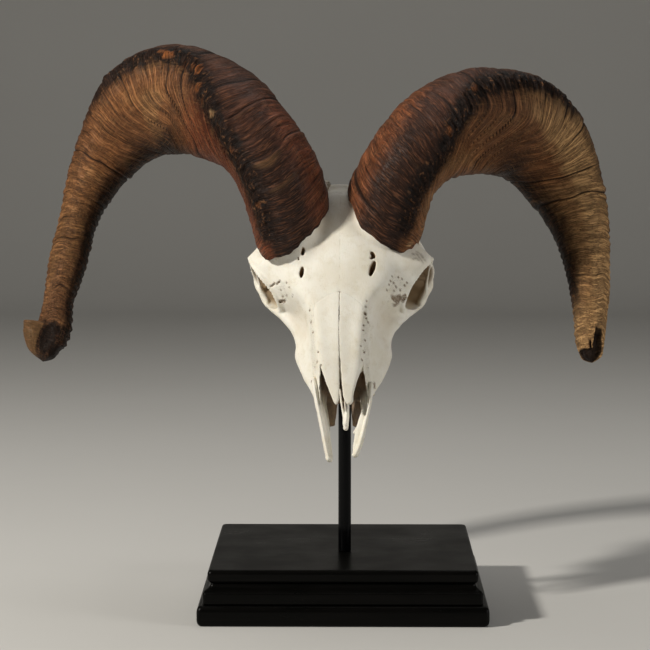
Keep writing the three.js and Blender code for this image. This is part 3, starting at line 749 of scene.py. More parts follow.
def hornFinish():
    finish = Finish("hornSheath")
    grain = finish.attribute("hornGrain", vector=True)
    keel = finish.attribute("hornKeel")
    height = finish.attribute("hornHeight")
    hatched = finish.attribute("hornHatch")
    colour = finish.attribute("hornTone", vector=True)
    rings = finish.noise(finish.scaled(grain, (0.035, 0.035, 0.30)), 1.0, 3.0, 0.6)
    lines = finish.noise(finish.scaled(grain, (0.045, 0.045, 0.60)), 1.0, 2.0, 0.55)
    hairs = finish.noise(finish.scaled(grain, (0.15, 0.15, 1.5)), 1.0, 3.0, 0.55)
    fibres = finish.noise(finish.scaled(grain, (1.05, 1.05, 0.14)), 1.0, 2.0, 0.6)
    mottle = finish.noise(finish.scaled(grain, (0.16, 0.16, 0.12)), 1.0, 5.0, 0.62)
    crumbs = finish.noise(finish.scaled(grain, (0.42, 0.42, 0.42)), 1.0, 5.0, 0.65)
    # light and dark growth bands, then thin dark lines where the noise crosses its middle
    shade = finish.plus(finish.band(rings, 0.25, 0.75, 0.50, 1.10), finish.band(lines, 0.3, 0.7, -0.16, 0.20))
    shade = finish.plus(shade, finish.band(mottle, 0.3, 0.7, -0.16, 0.18))
    colour = finish.mix(1.0, colour, shade, "MULTIPLY")
    crossing = finish.apart(lines, 0.47)
    thin = finish.band(crossing, 0.05, 0.012)
    crossing = finish.apart(rings, 0.5)
    thin = finish.most(thin, finish.band(crossing, 0.022, 0.006))
    crossing = finish.apart(hairs, 0.5)
    thin = finish.most(thin, finish.band(crossing, 0.05, 0.015, 0.0, 0.62))
    broken = finish.times(thin, finish.band(mottle, 0.36, 0.52, 0.35, 0.9))
    colour = finish.mix(finish.times(broken, 0.82), colour, tone(34, 19, 12))
    # fine strokes square to the rings
    strokes = finish.times(finish.band(fibres, 0.52, 0.66), finish.times(hatched, 0.11))
    colour = finish.mix(strokes, colour, tone(208, 160, 104))
    strokes = finish.times(finish.band(fibres, 0.42, 0.32), finish.times(hatched, 0.15))
    colour = finish.mix(strokes, colour, tone(58, 34, 20))
    worn = finish.times(finish.band(crumbs, 0.55, 0.68), finish.band(keel, 0.15, 0.6))
    colour = finish.mix(finish.times(worn, 0.5), colour, tone(150, 104, 68))
    # pale crests of the fine rings, away from the dark ridge
    crest = finish.times(finish.band(hairs, 0.49, 0.64), finish.band(mottle, 0.34, 0.56, 0.35, 0.65))
    crest = finish.times(crest, finish.band(keel, 0.5, 0.1, 0.1, 0.34))
    colour = finish.mix(crest, colour, tone(164, 108, 74))
    # painted shade: the grooves, below the surface, are darkened towards near black
    colour = finish.mix(finish.band(height, -0.22, -1.0, 0.0, 0.86), colour, tone(22, 13, 9))
    # painted highlight: raised lips and knobs away from the keel are lightened
    high = finish.times(finish.band(height, 0.45, 1.5, 0.0, 0.20), finish.band(keel, 0.5, 0.1))
    colour = finish.mix(high, colour, tone(190, 146, 98))
    bumpHeight = finish.plus(finish.times(rings, 0.5), finish.times(lines, 0.5))
    bumpHeight = finish.plus(bumpHeight, finish.times(hairs, 0.3))
    bumpHeight = finish.minus(bumpHeight, finish.times(broken, 0.35))
    bumpHeight = finish.plus(bumpHeight, finish.times(finish.times(fibres, hatched), 0.14))
    bumpHeight = finish.plus(bumpHeight, finish.times(finish.times(crumbs, keel), 1.4))
    rough = finish.band(mottle, 0.3, 0.7, 0.44, 0.60)
    finish.feed(finish.shader, {"Base Color": colour, "Roughness": rough, "Specular IOR Level": 0.15,
                                "Normal": finish.bump(bumpHeight, 0.0014, 0.9)})
    return finish.material


for hornSideName in ("left", "right"):
    makeHorn("horn_" + hornSideName, hornPlan, hornPlan[hornSideName])
print("horns made")

# the skull's own frame
# x runs across the skull, a from the jaw tips up to the poll, n straight out of the face.
skullPlan = {
    "origin": (-1.6, -92.0, 130.0), "leanBack": 28.0, "turn": -3.5, "tip": -0.7,
    "grid": 0.8, "low": (-80.0, 40.0, -114.0), "high": (80.0, 248.0, 34.0),
    "triangles": 190000, "smallTriangles": 60000,
}


def turned(way, axis, degrees):
    # a direction turned about an axis
    angle = math.radians(degrees)
    return (way * math.cos(angle) + np.cross(axis, way) * math.sin(angle)
            + axis * (way @ axis) * (1 - math.cos(angle)))


def skullAxes(plan):
    # rows: the ways of x, a and n, leant back, turned about a and tipped about the way back
    lean = math.radians(plan["leanBack"])
    along = np.array([0.0, math.sin(lean), math.cos(lean)])
    across = turned(np.array([1.0, 0.0, 0.0]), along, plan["turn"])
    outward = turned(np.array([0.0, -math.cos(lean), math.sin(lean)]), along, plan["turn"])
    upright = np.array([0.0, 1.0, 0.0])
    along, outward = turned(along, upright, plan["tip"]), turned(outward, upright, plan["tip"])
    across[2] = 0.0
    return np.array([across / np.linalg.norm(across), along, outward])


def toWorld(local):
    return np.array(skullPlan["origin"]) + local @ skullAxes(skullPlan)


def toSkull(world):
    return (world - np.array(skullPlan["origin"])) @ np.linalg.inv(skullAxes(skullPlan))


# shapes as distance fields
class Field:
    # distances on a box of evenly spaced points, below zero inside the shape
    def __init__(self, low, high, step):
        self.low, self.step = np.array(low, float), step
        self.axes = [np.arange(low[k], high[k] + step, step) for k in range(3)]
        self.depth = np.full([len(axis) for axis in self.axes], 20.0, np.float32)

    def part(self, low, high):
        cuts = []
        for k in range(3):
            start = max(int((low[k] - self.low[k]) / self.step), 0)
            end = min(int((high[k] - self.low[k]) / self.step) + 2, len(self.axes[k]))
            cuts.append(slice(start, max(end, start)))
        x, a, n = (self.axes[k][cuts[k]].astype(np.float32) for k in range(3))
        return tuple(cuts), x[:, None, None], a[None, :, None], n[None, None, :]

    def join(self, shape, soft):
        distance, low, high = shape
        cuts, x, a, n = self.part(low, high)
        old, new = self.depth[cuts], distance(x, a, n)
        share = np.clip(0.5 + 0.5 * (old - new) / soft, 0, 1)
        self.depth[cuts] = old * (1 - share) + new * share - soft * share * (1 - share)

    def cut(self, shape, soft):
        distance, low, high = shape
        cuts, x, a, n = self.part(low, high)
        old, new = self.depth[cuts], -distance(x, a, n)
        share = np.clip(0.5 - 0.5 * (old - new) / soft, 0, 1)
        self.depth[cuts] = old * (1 - share) + new * share + soft * share * (1 - share)

    def value(self, spots):
        # distances at any points, blended from the eight nearest of the grid
        place = (spots - self.low) / self.step
        top = np.array(self.depth.shape) - 2
        cell = np.clip(np.floor(place).astype(int), 0, top)
        part = np.clip(place - cell, 0.0, 1.0)
        total = 0.0
        for dx in (0, 1):
            for dy in (0, 1):
                for dz in (0, 1):
                    weight = np.ones(len(spots))
                    for k, d in enumerate((dx, dy, dz)):
                        weight = weight * (part[:, k] if d else 1.0 - part[:, k])
                    total = total + weight * self.depth[cell[:, 0] + dx, cell[:, 1] + dy, cell[:, 2] + dz]
        return total

    def slope(self, spots):
        # the way straight out of the surface, from differences of the distances
        span = self.step
        ways = []
        for k in range(3):
            shift = np.zeros(3)
            shift[k] = span
            ways.append(self.value(spots + shift) - self.value(spots - shift))
        ways = np.stack(ways, -1)
        return ways / np.maximum(np.linalg.norm(ways, axis=1, keepdims=True), 1e-9)

    def skin(self):
        # closed surface at distance zero, as points and triangles
        grid = openvdb.FloatGrid(20.0)
        grid.copyFromArray(self.depth)
        points, triangles, quads = grid.convertToPolygons(0.0, 0.0)
        halves = np.vstack([quads[:, [0, 1, 2]], quads[:, [0, 2, 3]]])
        triangles = np.vstack([triangles.reshape(-1, 3), halves]).astype(np.int64)
        return points.astype(np.float64) * self.step + self.low, triangles


def around(spots, reach):
    # lowest and highest corners of a box round the spots
    spots = np.asarray(spots, float).reshape(-1, 3)
    return spots.min(0) - reach, spots.max(0) + reach


def ball(centre, sizes, reach=6.0):
    # ellipsoid: the scaled radius less one, over its own steepness
    centre, sizes = np.array(centre, float), np.array(sizes, float)

    def distance(x, a, n):
        parts = [(v - c) / s for v, c, s in zip((x, a, n), centre, sizes)]
        even = np.sqrt(sum(p * p for p in parts))
        steep = np.sqrt(sum((p / s) ** 2 for p, s in zip(parts, sizes)))
        return even * (even - 1.0) / np.maximum(steep, 1e-6)
    return distance, centre - sizes - reach, centre + sizes + reach


def rod(stations, reach=6.0, steps=5, squash=(1.0, 1.0, 1.0)):
    # smooth chain of thick segments; each station is x, a, n and its half thickness
    stations = np.asarray(stations, float)
    knots = np.concatenate([[0.0], np.cumsum(np.linalg.norm(np.diff(stations[:, :3], axis=0), axis=1))])
    count = steps * (len(stations) - 1) + 1
    line = splineThrough(knots, stations, np.linspace(0, knots[-1], count))
    squash = np.array(squash, float)
    flat = line[:, :3] / squash

    def distance(x, a, n):
        best = None
        for start, end, thickA, thickB in zip(flat[:-1], flat[1:], line[:-1, 3], line[1:, 3]):
            way = end - start
            off = [v / q - s for v, q, s in zip((x, a, n), squash, start)]
            share = np.clip(sum(o * w for o, w in zip(off, way)) / float(way @ way), 0, 1)
            gap = np.sqrt(sum((o - share * w) ** 2 for o, w in zip(off, way)))
            gap = gap - (thickA + (thickB - thickA) * share)
            best = gap if best is None else np.minimum(best, gap)
        return best * float(squash.min())
    widest = line[:, 3].max() * squash.max()
    low, high = around(line[:, :3], widest + reach)
    return distance, low, high


def meet(first, second):
    # what two shapes share
    return ((lambda x, a, n: np.maximum(first[0](x, a, n), second[0](x, a, n))),
            np.maximum(first[1], second[1]), np.minimum(first[2], second[2]))


def halfSpace(way, spot):
    # everything behind a plane through the spot that faces the given way
    way = np.array(way, float) / np.linalg.norm(way)
    spot = np.array(spot, float)
    wide = np.array([400.0] * 3)
    return (lambda x, a, n: (x - spot[0]) * way[0] + (a - spot[1]) * way[1] + (n - spot[2]) * way[2],
            -wide, wide)


# cranium: body of the face and braincase
# Half sections at stations along a: half width and n of the widest level, n of the roof
# and of the base, x and n of the roof's shoulder, how far the flank is hollowed, and
# the half width of the base.
bodySections = np.array([
    # a, half, top, wide, base, shoulderX, shoulderN, hollow, baseHalf
    (30, 12, -14, -22, -30, 8, -16, 0, 7), (44, 20.5, -8.5, -23, -35, 11.5, -11, 0, 13),
    (52, 22.3, -5.2, -24, -38, 13, -8.5, 0.6, 17), (59, 24.3, -2.5, -27, -42, 14.5, -6, 1.0, 20),
    (66, 27.8, 1, -30, -46, 15.5, -3, 1.6, 22), (76, 32.3, 6, -34, -51, 17, 1.5, 2.2, 24),
    (86, 36.0, 10, -37, -55, 18.5, 5, 2.6, 26), (95, 38.0, 12.5, -38, -57, 19.5, 7, 2.8, 27),
    (104, 36.3, 14.5, -37, -59, 21, 8.5, 2.8, 28), (113, 36.6, 16, -33, -61, 23, 9.5, 2.6, 29),
    (119, 37.6, 17, -30, -62, 25.5, 10, 2.2, 30), (124, 41.0, 17.8, -27, -63, 28.5, 10.5, 1.6, 30),
    (129, 48.0, 18.5, -23, -64, 31.5, 11, 1.0, 30), (135, 52.5, 19.3, -16, -64, 34.5, 11.3, 0.5, 30),
    (141, 56.0, 20, -11.5, -65, 37, 11.3, 0, 30), (149, 61.0, 20.2, -8.8, -66, 39, 11.0, 0, 30),
    (158, 66.5, 19.2, -9.5, -67, 41, 10.5, 0, 29), (166, 68.5, 18.2, -11, -68, 42, 9.5, 0, 29),
    (173, 63.0, 17.2, -9, -69, 41, 8.5, 0, 29), (182, 54, 15.4, -13, -71, 38, 7, 0, 29),
    (194, 44, 14.2, -25, -74, 33, 4, 0, 28), (206, 39, 12, -36, -79, 28, 1, 0, 26),
    (217, 36, 3.5, -42, -82, 25, -5, 0, 24), (228, 33, -20, -48, -84, 22, -27, 0, 20),
    (240, 27, -40, -56, -84, 17, -46, 0, 15), (252, 20, -64, -69, -82, 12, -67, 0, 12),
], float)


def sectionTable(angles, places):
    # distance from the section's own middle to its outline, by angle and by place along a
    values = splineThrough(bodySections[:, 0], bodySections[:, 1:], places)
    middle = values[:, 2] * 0.45 + (values[:, 1] + values[:, 3]) * 0.275
    table = np.zeros((len(places), len(angles)))
    for i, (half, top, wide, base, sx, sn, hollow, low) in enumerate(values):
        drop = top - sn
        controls = np.array([
            (-sx * 0.5, top - drop * 0.22), (0, top), (sx * 0.5, top - drop * 0.22), (sx, sn),
            (0.52 * (sx + half) - hollow, 0.5 * (sn + wide) - hollow * 0.4),
            (half, wide), (0.30 * half + 0.70 * low + 1.5, wide * 0.55 + base * 0.45),
            (low, base + 3.0), (low * 0.5, base), (0, base + 0.5), (-low * 0.5, base)])
        knots = np.arange(len(controls), dtype=float)
        outline = splineThrough(knots, controls, np.linspace(1.0, 9.0, 160))
        bearing = np.arctan2(outline[:, 1] - middle[i], outline[:, 0])
        reach = np.hypot(outline[:, 0], outline[:, 1] - middle[i])
        order = np.argsort(bearing)
        table[i] = np.interp(angles, bearing[order], reach[order])
    return table, middle


def bodyShape(low, high):
    # the section table read at every point: radius less outline, over the outline's slope
    angles = np.linspace(-math.pi / 2, math.pi / 2, 361)
    places = np.arange(low[1], high[1] + 1.0, 1.0)
    table, middle = sectionTable(angles, places)
    slopeAngle = np.gradient(table, angles, axis=1) / table
    slopePlace = np.gradient(table, places, axis=0)
    steep = np.sqrt(1 + slopeAngle ** 2 + slopePlace ** 2)

    def distance(x, a, n):
        result = np.empty(np.broadcast_shapes(x.shape, a.shape, n.shape), np.float32)
        for i, place in enumerate(a[0, :, 0]):
            row = np.clip(place - places[0], 0, len(places) - 1.001)
            k, part = int(row), row - int(row)
            outline = table[k] * (1 - part) + table[k + 1] * part
            slant = steep[k] * (1 - part) + steep[k + 1] * part
            centre = middle[k] * (1 - part) + middle[k + 1] * part
            side, up = np.abs(x[:, 0, :]), n[:, 0, :] - centre
            bearing = np.arctan2(up, side)
            radius = np.hypot(side, up)
            gap = (radius - np.interp(bearing, angles, outline)) / np.interp(bearing, angles, slant)
            result[:, i, :] = gap
        return result
    return distance, np.array(low, float), np.array(high, float)


def midLine(a):
    # the seam down the middle of the face wanders a little to one side
    return np.interp(a, [42, 58, 75, 100, 125, 150, 215], [0.3, 0.1, -0.3, 0.3, 1.2, 1.9, 2.1])


facePlan = {
    "brow": [(30, 163, 4, 9), (48, 158, 1, 7.5), (60, 159, -4.5, 4.5), (69.0, 165, -11, 2.6)],
    "cheek": [(27, 96, -38, 8), (32, 111, -36, 7), (40.5, 123, -33.5, 6.8), (50.5, 132, -38, 5.0),
              (62, 145, -46, 3.0)],
    "arch": [(61, 142, -46, 3.2), (66.5, 155, -45, 3.2), (68, 167, -46, 3.4), (64, 187, -51, 3.4),
             (54, 205, -54, 4.2), (40, 217, -56, 6.5)],
    # rim of an eye socket, from its upper back corner down round the outside and up along the brow
    "rim": [(71.6, 165.5, -13, 1.7), (69.8, 163.8, -21, 1.2), (67.9, 160.5, -30, 1.05),
            (66.0, 153.5, -38.5, 1.1), (64.9, 147.5, -44, 1.2), (61.4, 141.2, -47, 1.6),
            (55.5, 134.8, -45, 2.0), (50.0, 129.8, -37, 2.2), (47.6, 128.3, -27, 2.2),
            (48.4, 131.0, -17, 1.9), (52.0, 137.2, -9.5, 1.6), (56.6, 142.6, -6.2, 1.6),
            (61.5, 149.0, -5.8, 1.8), (66.8, 157.5, -8.2, 1.8)],
    "cup": (57.0, 147.5, -27.0, 33.0, 20.6, 22.4), "carve": (60.0, 148.0, -27.5, 31.0, 17.6, 19.4),
    "lopsided": 1.4,
    "fossa": (61.0, 194.0, -36.0, 23.0, 17.0, 24.0), "lowerFossa": (52, 180, -53, 19, 23, 14),
    "wall": (59, 158, -46, 11, 11, 3.0),
    # rough ring of bone that stands beside the rim of each horn
    "burr": [[(-10.5, 225, -3, 3.2), (-13.0, 214, 6, 2.8), (-15.0, 205, 9.5, 2.6),
              (-18.5, 191.3, 11.5, 2.6), (-24.5, 180, 13, 3.0), (-32.0, 171.5, 13, 3.2),
              (-39.5, 164.5, 11, 3.0), (-46, 158.2, 7.5, 2.6)],
             [(11.5, 221, -2, 2.2), (13.0, 210, 7, 2.2), (17.5, 192, 10.5, 2.2), (28.0, 177, 11, 2.2),
              (45.0, 171.0, 6.0, 2.2)]],
}


def mirrored(line, side):
    # a line of x, a, n and half thickness on the given side of the skull
    return np.array(line, float) * np.array([side, 1, 1, 1])


def rimLine(plan, side):
    # the rim's spots, moved a little inwards on one side and outwards on the other along the brow
    spots = np.array(plan["rim"], float)
    onBrow = smoothStep(-24, -8, spots[:, 2]) * smoothStep(72, 66, spots[:, 0])
    spots[:, 0] -= side * plan["lopsided"] * onBrow
    spots[:, 0] *= side
    return spots


def rimPlane(plan, side):
    # plane that fits the rim best: its outward x at a = n = 0, and its slopes along a and n
    spots = rimLine(plan, side)
    design = np.column_stack([np.ones(len(spots)), spots[:, 1], spots[:, 2]])
    return np.linalg.lstsq(design, spots[:, 0] * side, rcond=None)[0]


def sideBall(sizes, side):
    # ellipsoid from x, a, n of its middle and its half sizes, on the given side
    x, a, n = sizes[:3]
    return ball((side * x, a, n), sizes[3:])


def orbitPieces(plan, side):
    # cup: an ellipsoid cut off by the slanting plane that fits the rim best
    base, slopeA, slopeN = rimPlane(plan, side)
    plane = halfSpace((side, -slopeA, -slopeN), (side * (base + slopeA * 148 - slopeN * 27), 148, -27))
    spots = rimLine(plan, side)
    closed = np.vstack([spots, spots[:1]])
    return meet(sideBall(plan["cup"], side), plane), sideBall(plan["carve"], side), rod(closed, 5.0, 3)


def browTeeth(plan, side):
    # little knobs along the brow's edge over the socket
    spots = rimLine(plan, side)[9:]
    spots = np.vstack([spots, rimLine(plan, side)[:1]])
    knots = np.concatenate([[0.0], np.cumsum(np.linalg.norm(np.diff(spots[:, :3], axis=0), axis=1))])
    at = np.arange(2.0, knots[-1] - 2.0, 2.9)
    line = splineThrough(knots, spots, at)
    return [ball((x + side * 0.9, a - 0.9, n - 0.3), (1.25, 0.95, 1.3), 3.0) for x, a, n, _ in line]


def pedicleShape(spec, plan):
    # the bone core under one horn: the horn's first ring, a little smaller, run down into the roof
    _, rows, heading, back, outer = hornRows(plan, spec)
    inwards = np.array([spec["coreShift"], 0.0, 0.0])
    start = toSkull((rows[0, :3] - heading[0] * plan["coreDown"] + inwards)[None, :])[0]
    end = toSkull((rows[0, :3] + heading[0] * plan["coreUp"] + inwards)[None, :])[0]
    axes = np.array([outer[0], back[0], heading[0]]) @ skullAxes(skullPlan).T
    sizes = rows[0, 3:5] - spec["coreLess"]
    span = np.linalg.norm(end - start)

    def distance(x, a, n):
        off = [v - c for v, c in zip((x, a, n), start)]
        u, v, w = (sum(o * axis[k] for k, o in enumerate(off)) for axis in axes)
        swell = 1.0 + 0.10 * np.clip(1.0 - w / 30.0, 0, 1)
        even = np.sqrt((u / sizes[0]) ** 2 + (v / sizes[1]) ** 2) / swell
        steep = np.sqrt((u / sizes[0] ** 2) ** 2 + (v / sizes[1] ** 2) ** 2) / np.maximum(even, 1e-6)
        return np.maximum((even - 1.0) / np.maximum(steep, 1e-6), np.maximum(-w, w - span))
    low, high = around([start, end], 48.0)
    return distance, low, high


def craniumField(plan):
    # shapes joined and cut one after another; the last number of each is how softly they blend
    field = Field(skullPlan["low"], skullPlan["high"], skullPlan["grid"])
    field.join(bodyShape(skullPlan["low"], skullPlan["high"]), 0.5)
    orbits = {side: orbitPieces(plan, side) for side in (-1, 1)}
    for side, (cup, _, _) in orbits.items():
        field.join(rod(mirrored(plan["brow"], side), squash=(1, 1, 0.6)), 4.0)
        field.join(rod(mirrored(plan["cheek"], side)), 4.0)
        field.join(cup, 2.0)
    addBraincase(field, braincasePlan)
    for side, (_, carve, rim) in orbits.items():
        field.cut(sideBall(plan["fossa"], side), 4.0)
        field.cut(sideBall(plan["lowerFossa"], side), 3.0)
        field.cut(carve, 1.2)
        field.join(rim, 1.2)
        field.join(sideBall(plan["wall"], side), 5.0)
        for knob in browTeeth(plan, side):
            field.join(knob, 0.7)
        field.join(rod(mirrored(plan["arch"], side), squash=(0.6, 1, 1)), 2.0)
    for spec in (hornPlan["left"], hornPlan["right"]):
        field.join(pedicleShape(spec, hornPlan), 4.0)
    for line in plan["burr"]:
        field.join(rod(line, steps=4), 2.5)
    carveNose(field, nosePlan)
    carveUnderside(field, undersidePlan)
    addTeeth(field, teethPlan)
    grooveFace(field)
    return field


braincasePlan = {
    # x, a, n of each middle, then the half sizes; rods give x, a, n and half thickness
    "shell": (0, 205, -42, 37, 29, 38), "back": (0, 231, -44, 31, 8, 24),
    "crest": [(-30, 220, -58, 4), (-16, 230, -47, 4), (0, 234, -44, 4.5), (16, 230, -47, 4),
              (30, 220, -58, 4)],
    "stem": [(0, 150, -74, 7), (0, 190, -80, 8), (0, 222, -86, 10)],
    "condyle": (12.5, 234, -90, 8.0, 11, 10.5), "earBone": (24, 210, -87, 8.5, 13, 10.5),
    "spike": [(30, 222, -76, 7), (27.5, 227, -94, 4.5), (24, 226, -107, 2.2)],
    "earTube": [(33, 212, -66, 6), (39, 213, -68, 4.5)],
    "wing": [(11, 138, -66, 3.5), (12, 160, -76, 3), (13, 178, -80, 2.2)],
}


def addBraincase(field, plan):
    # the shell and the crest over its back, then the paired knobs, spikes and wings below
    field.join(sideBall(plan["shell"], 1), 3.0)
    field.join(sideBall(plan["back"], 1), 8.0)
    field.join(rod(plan["crest"], steps=6), 5.0)
    field.join(rod(plan["stem"], squash=(1.2, 1, 0.8)), 5.0)
    for side in (-1, 1):
        field.join(sideBall(plan["condyle"], side), 2.5)
        field.join(sideBall(plan["earBone"], side), 2.5)
        field.join(rod(mirrored(plan["spike"], side)), 3.0)
        field.join(rod(mirrored(plan["earTube"], side)), 3.0)
        field.join(rod(mirrored(plan["wing"], side), squash=(0.6, 1, 1.6)), 2.0)


nosePlan = {
    # the passage: a, half width, half height and n of its middle
    "passage": [(34, 13, 15, -27), (48, 15.5, 17, -23), (60, 17.5, 17, -21), (75, 21, 15.5, -17),
                (92, 20, 15, -13), (110, 13, 11, -10)],
    "passageLong": 8.5, "floor": -30.0,
    "plate": [(0.3, 62, -14, 1.1), (0.3, 80, -6, 1.1), (0.3, 104, -6, 1.1)],
    "scroll": [(16.5, 76, -21, 1.2), (13.5, 80, -21, 1.6), (11, 94, -16, 2.2)],
}


def carveNose(field, plan):
    # the open nose, a chain of ellipsoids, runs up under the nasal bones and out between the jaw tips
    passage = np.array(plan["passage"], float)
    for start, end in zip(passage[:-1], passage[1:]):
        for t in np.linspace(0, 1, 4)[:-1]:
            a, wide, high, n = start + (end - start) * t
            field.cut(ball((0, a, n), (wide, plan["passageLong"], high)), 2.0)
    cuts, x, a, n = field.part((-30, 36, -34), (30, 80, 20))
    gap = outlineDistance(x[:, :, 0], a[:, :, 0], noseOutline, 0.15)[:, :, None]
    opening = np.maximum(gap, -(n - plan["floor"]))
    field.depth[cuts] = np.maximum(field.depth[cuts], -opening)
    # thin walls stand in the nose: the middle plate and the scrolls on both sides
    field.join(rod(plan["plate"], squash=(1, 1, 11)), 1.0)
    for side in (-1, 1):
        field.join(rod(mirrored(plan["scroll"], side), squash=(1, 1, 2.4)), 2.0)


undersidePlan = {
    # x, a, n of each middle, then the half sizes; rods give x, a, n and half thickness
    "palate": (0, 92, -72, 13, 46, 17), "throat": (0, 160, -82, 10.5, 30, 17),
    "spineHole": (0, 246, -84, 9.5, 24, 9.5),
    "side": (31, 160, -62, 13, 26, 13), "behindEar": (20, 214, -98, 4.5, 10, 7),
    "earHole": [(46, 215, -69, 2.2), (30, 213, -68, 2.2)],
    "cheekGap": [(42, 110, -66, 5), (40, 140, -66, 7)],
}


def carveUnderside(field, plan):
    # hollows of the palate and the throat and the hole for the spine, then those on both sides
    field.cut(sideBall(plan["palate"], 1), 4.0)
    field.cut(sideBall(plan["throat"], 1), 3.0)
    field.cut(sideBall(plan["spineHole"], 1), 2.0)
    for side in (-1, 1):
        field.cut(sideBall(plan["side"], side), 4.0)
        field.cut(sideBall(plan["behindEar"], side), 2.0)
        field.cut(rod(mirrored(plan["earHole"], side)), 0.8)
        field.cut(rod(mirrored(plan["cheekGap"], side)), 4.0)


teethPlan = {
    # sizes of the first tooth, and what each next one adds
    "count": 6, "start": 69.0, "gap": 0.6, "long": (7.6, 1.35), "wide": (4.4, 0.42), "x": (18.5, 1.25),
    "root": (-50, -1.3), "tall": 13, "single": 3,
}


def addTeeth(field, plan):
    # cheek teeth that grow towards the back; the first are one blunt column, the others two,
    # and each column has two cusps
    for side in (-1, 1):
        place = plan["start"]
        for k in range(plan["count"]):
            sizes = [plan[key] for key in ("long", "wide", "x", "root")]
            long, wide, x, root = (first + more * k for first, more in sizes)
            x = side * x
            lobes = 1 if k < plan["single"] else 2
            for j in range(lobes):
                a = place + long * (j + 0.5) / lobes
                half = long / lobes / 2.0 - 0.15
                field.join(rod([(x, a, root, half), (x + side * 0.6, a, root - plan["tall"], half * 0.92)],
                               squash=(wide / half * 0.92, 1, 1)), 0.8)
                field.join(ball((x + side * wide * 0.55, a, root - 14), (1.9, half * 0.75, 3.4)), 0.7)
                field.join(ball((x - side * wide * 0.45, a, root - 13.5), (1.9, half * 0.75, 3.0)), 0.7)
            place += long + plan["gap"]


noseOutline = [
    # plan of the opening before the nose, as x and a
    (-16.2, 30), (-16.6, 50), (-16.9, 57), (-16.2, 63), (-15.4, 68), (-15.1, 72.5), (-14.3, 75),
    (-12.5, 70), (0, 70), (13.5, 71), (15.6, 76.5), (16.6, 75), (17.2, 70), (17.9, 64), (19.0, 58),
    (19.9, 53), (20.3, 46), (20, 30),
]

holePlan = [
    # slanting slots for the nerves: x, a, n and half width along each, deeper than they are wide
    [(-26.4, 158.8, 19.0, 1.0), (-27.1, 155.6, 18.5, 1.3)],
    [(-27.4, 144.6, 15.6, 1.0), (-28.2, 139.6, 15.0, 1.5), (-28.4, 137.6, 15.0, 0.8)],
    [(26.2, 157.6, 15.7, 1.2), (27.4, 155.0, 15.7, 1.4), (25.4, 152.8, 15.7, 0.7)],
    [(28.0, 149.8, 15.6, 1.1), (26.6, 145.0, 15.8, 1.9), (24.9, 139.4, 16.0, 1.2)],
    [(-30.4, 152.2, 15.2, 0.7), (-30.2, 151.4, 15.2, 0.7)],
    [(25.2, 64.8, -18.5, 1.3), (25.0, 62.8, -19.5, 1.3)],
    # greyish slots and smudges before the left socket
    [(-54.0, 138.8, -7.0, 0.55), (-51.0, 139.8, -4.5, 0.7)],
    [(-49.0, 139.0, -2.5, 0.6), (-46.2, 140.0, 0.0, 0.7)],
    [(-48.0, 130.0, -17.0, 0.7), (-43.6, 128.9, -12.5, 0.85)],
    # brown hollow full of pores before the right socket
    [(40.4, 129.6, -7.0, 1.0), (43.5, 129.4, -10.0, 1.9), (46.0, 131.6, -11.5, 1.3)],
    [(48.0, 131.0, -13.0, 1.6), (50.4, 133.4, -14.5, 0.9)],
    [(41.0, 126.6, -9.0, 0.8), (44.4, 126.4, -12.0, 0.9)],
]

pitPlan = [
    # round pits: x, a, n and half width
    (-45.9, 134.8, -4.5, 0.6), (-40.7, 136.6, 5.0, 0.6), (-44.8, 131.1, -9.5, 0.7),
    (-38.5, 133.0, 6.0, 0.7), (-41.5, 130.4, -4.0, 0.8), (-36.5, 128.0, 3.0, 0.7),
    (39.8, 137.9, 7.0, 0.8), (42.1, 137.6, 4.0, 0.9), (45.7, 142.7, 3.5, 0.8), (48.5, 142.5, 0.5, 0.7),
    (50.1, 138.8, -3.5, 0.9), (38.6, 135.1, 6.5, 0.7), (43.7, 136.1, -0.5, 0.8),
    (46.6, 135.3, -4.5, 0.8), (41.0, 141.6, 7.0, 0.6), (52.0, 141.0, -4.0, 0.7),
    (36.8, 131.0, 5.0, 0.7), (42.0, 133.2, -1.5, 0.7), (20.1, 108.8, 11.0, 1.3), (18.3, 96.0, 9.0, 0.8),
    (22.0, 104.1, 5.5, 0.9), (19.4, 89.6, 4.5, 0.8), (18.4, 80.9, 1.5, 0.9), (16.7, 74.7, 0.5, 0.8),
    (16.4, 83.8, 6.5, 0.7), (20.7, 105.7, 9.5, 0.9), (18.7, 99.7, 10.0, 0.8), (20.9, 114.0, 12.5, 0.8),
    (21.6, 118.4, 13.4, 0.7), (-21.8, 103.6, 6.0, 0.9), (-20.3, 95.5, 5.5, 0.8),
    (-16.6, 79.6, 4.0, 0.8), (-18.0, 74.0, -2.5, 0.9), (-14.7, 70.1, 0.0, 0.8),
    (-22.4, 112.0, 9.5, 0.8), (25.4, 58.6, -20.0, 1.0), (24.5, 71.0, -12.0, 0.9),
    (26.8, 76.0, -12.0, 0.8), (27.5, 82.0, -9.0, 0.8), (23.5, 66.0, -13.0, 0.8),
    (-23.5, 63.0, -13.0, 0.9), (-26.0, 72.0, -12.0, 0.8),
]


def drillHoles(field):
    # slots as flattened rods, deep on the smooth face and shallow near the sockets, then round pits
    for line in holePlan:
        deep = 3.2 if abs(line[0][0]) < 36 else 1.3
        field.cut(rod(line, 8.0, 3, squash=(1, 1, deep)), 0.7)
    for x, a, n, radius in pitPlan:
        if field.low[1] < a < field.axes[1][-1]:
            field.cut(ball((x, a, n), (radius, radius, radius * 1.4), 3.0), 0.5)


groovePlan = [
    # the grooves that lead from the upper holes down the face
    [(-28.6, 138, 18.5, 1.5), (-30.5, 130, 17.0, 1.2), (-32, 120, 14.5, 0.7)],
    [(25.0, 138, 19.5, 1.6), (27.5, 130, 17.8, 1.3), (30, 119, 15.2, 0.7)],
]


def grooveFace(field):
    for line in groovePlan:
        field.cut(rod(line, squash=(1, 1, 0.8)), 1.8)


